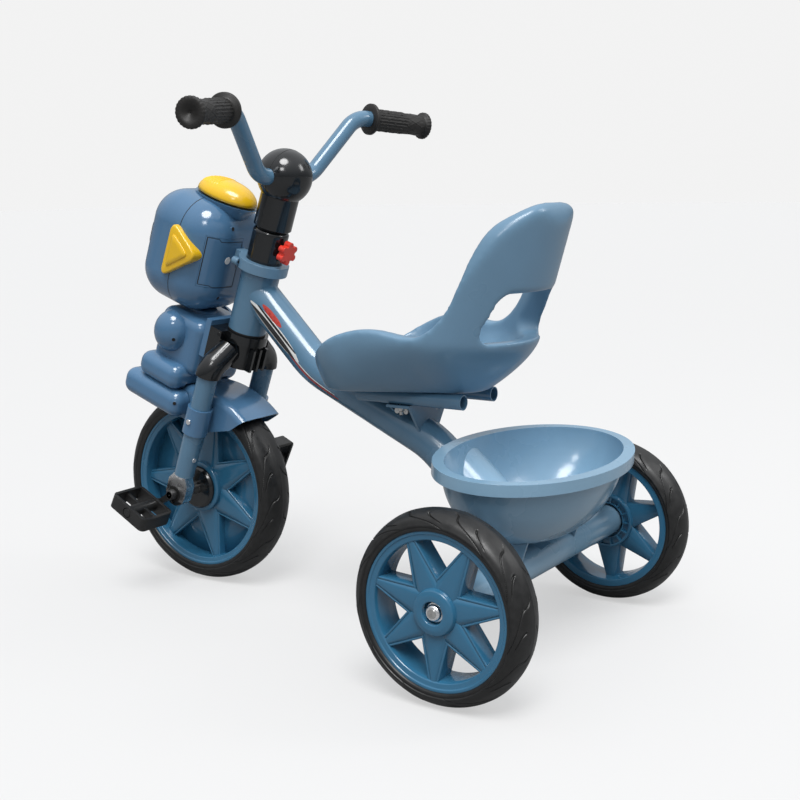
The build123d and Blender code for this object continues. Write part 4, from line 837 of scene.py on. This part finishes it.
# ------------------------------------------------------------------ camera, light, floor
cam_data = bpy.data.cameras.new("camera")
cam = bpy.data.objects.new("camera", cam_data)
bpy.context.scene.collection.objects.link(cam)
azimuth, elevation, roll = math.radians(-55.849), math.radians(9.729), math.radians(-0.939)
forward = Vector((math.cos(elevation) * math.cos(azimuth), math.cos(elevation) * math.sin(azimuth), -math.sin(elevation)))
right = forward.cross(Vector((0, 0, 1))).normalized()
up = right.cross(forward)
turned_right = right * math.cos(roll) + up * math.sin(roll)
turned_up = up * math.cos(roll) - right * math.sin(roll)
cam.matrix_world = Matrix((
    (turned_right.x, turned_up.x, -forward.x, REAR_X - 0.617355),
    (turned_right.y, turned_up.y, -forward.y, 1.173574),
    (turned_right.z, turned_up.z, -forward.z, 0.504983),
    (0, 0, 0, 1)))
cam_data.sensor_width = 36
cam_data.lens = 36 * 1237.75 / 800
cam_data.clip_start, cam_data.clip_end = 0.01, 100
bpy.context.scene.camera = cam


PALE = 0.8925
GLOW = 0.525


def pale_floor():
    """A pale floor under soft light; the eye sees it as even as the backdrop, with faint shadows."""
    m = principled("pale_floor", (0.25, 0.25, 0.25), 0.9, vary=0.002, scale=2, spec=0.0)
    t = m.node_tree
    p = next(n for n in t.nodes if n.type == "BSDF_PRINCIPLED")
    p.inputs["Emission Color"].default_value = (1, 1, 1, 1)
    path = t.nodes.new("ShaderNodeLightPath")
    glow = t.nodes.new("ShaderNodeMath")
    glow.operation = "MULTIPLY"
    glow.inputs[1].default_value = GLOW
    t.links.new(path.outputs["Is Camera Ray"], glow.inputs[0])
    t.links.new(glow.outputs[0], p.inputs["Emission Strength"])
    floor = build("floor", [(-30, -30, 0), (30, -30, 0), (30, 30, 0), (-30, 30, 0)], [(0, 1, 2, 3)], None, smooth=False)
    floor.data.materials.append(m)


def studio_world():
    """A soft studio: bright above, dimmer to the sides, and an even pale backdrop."""
    world = bpy.data.worlds.new("studio")
    bpy.context.scene.world = world
    world.use_nodes = True
    t = world.node_tree
    t.nodes.clear()
    out = t.nodes.new("ShaderNodeOutputWorld")
    mix = t.nodes.new("ShaderNodeMixShader")
    seen = t.nodes.new("ShaderNodeBackground")
    seen.inputs["Color"].default_value = (PALE, PALE, PALE, 1)
    around = t.nodes.new("ShaderNodeBackground")
    path = t.nodes.new("ShaderNodeLightPath")
    coord = t.nodes.new("ShaderNodeTexCoord")
    split = t.nodes.new("ShaderNodeSeparateXYZ")
    ramp = t.nodes.new("ShaderNodeValToRGB")
    ramp.color_ramp.elements[0].position = 0.0
    ramp.color_ramp.elements[0].color = (0.16, 0.17, 0.18, 1)
    ramp.color_ramp.elements[1].position = 0.85
    ramp.color_ramp.elements[1].color = (0.95, 0.97, 1.0, 1)
    t.links.new(coord.outputs["Generated"], split.inputs[0])
    t.links.new(split.outputs["Z"], ramp.inputs["Fac"])
    t.links.new(ramp.outputs["Color"], around.inputs["Color"])
    t.links.new(path.outputs["Is Camera Ray"], mix.inputs[0])
    t.links.new(around.outputs[0], mix.inputs[1])
    t.links.new(seen.outputs[0], mix.inputs[2])
    t.links.new(mix.outputs[0], out.inputs[0])


def softbox(name, at, target, size, power, color=(1, 1, 1)):
    data = bpy.data.lights.new(name, "AREA")
    data.shape = "RECTANGLE"
    data.size, data.size_y = size
    data.energy = power
    data.color = color
    o = bpy.data.objects.new(name, data)
    bpy.context.scene.collection.objects.link(o)
    o.location = at
    o.rotation_euler = (Vector(target) - Vector(at)).to_track_quat("-Z", "Y").to_euler()
    return o


def sun(direction, strength, spread):
    """A broad even light from a direction."""
    data = bpy.data.lights.new("sun", "SUN")
    data.energy = strength
    data.angle = math.radians(spread)
    o = bpy.data.objects.new("sun", data)
    bpy.context.scene.collection.objects.link(o)
    o.rotation_euler = Vector(direction).to_track_quat("-Z", "Y").to_euler()


pale_floor()
studio_world()
sun((0.30, -0.42, -1.0), 2.5, 28)
softbox("key", (-0.7, 1.5, 1.5), (0, 0, 0.3), (0.45, 0.35), 6)
softbox("back", (-1.6, -1.0, 1.5), (0, 0, 0.3), (0.5, 0.7), 7)
bpy.context.scene.view_settings.view_transform = "Standard"
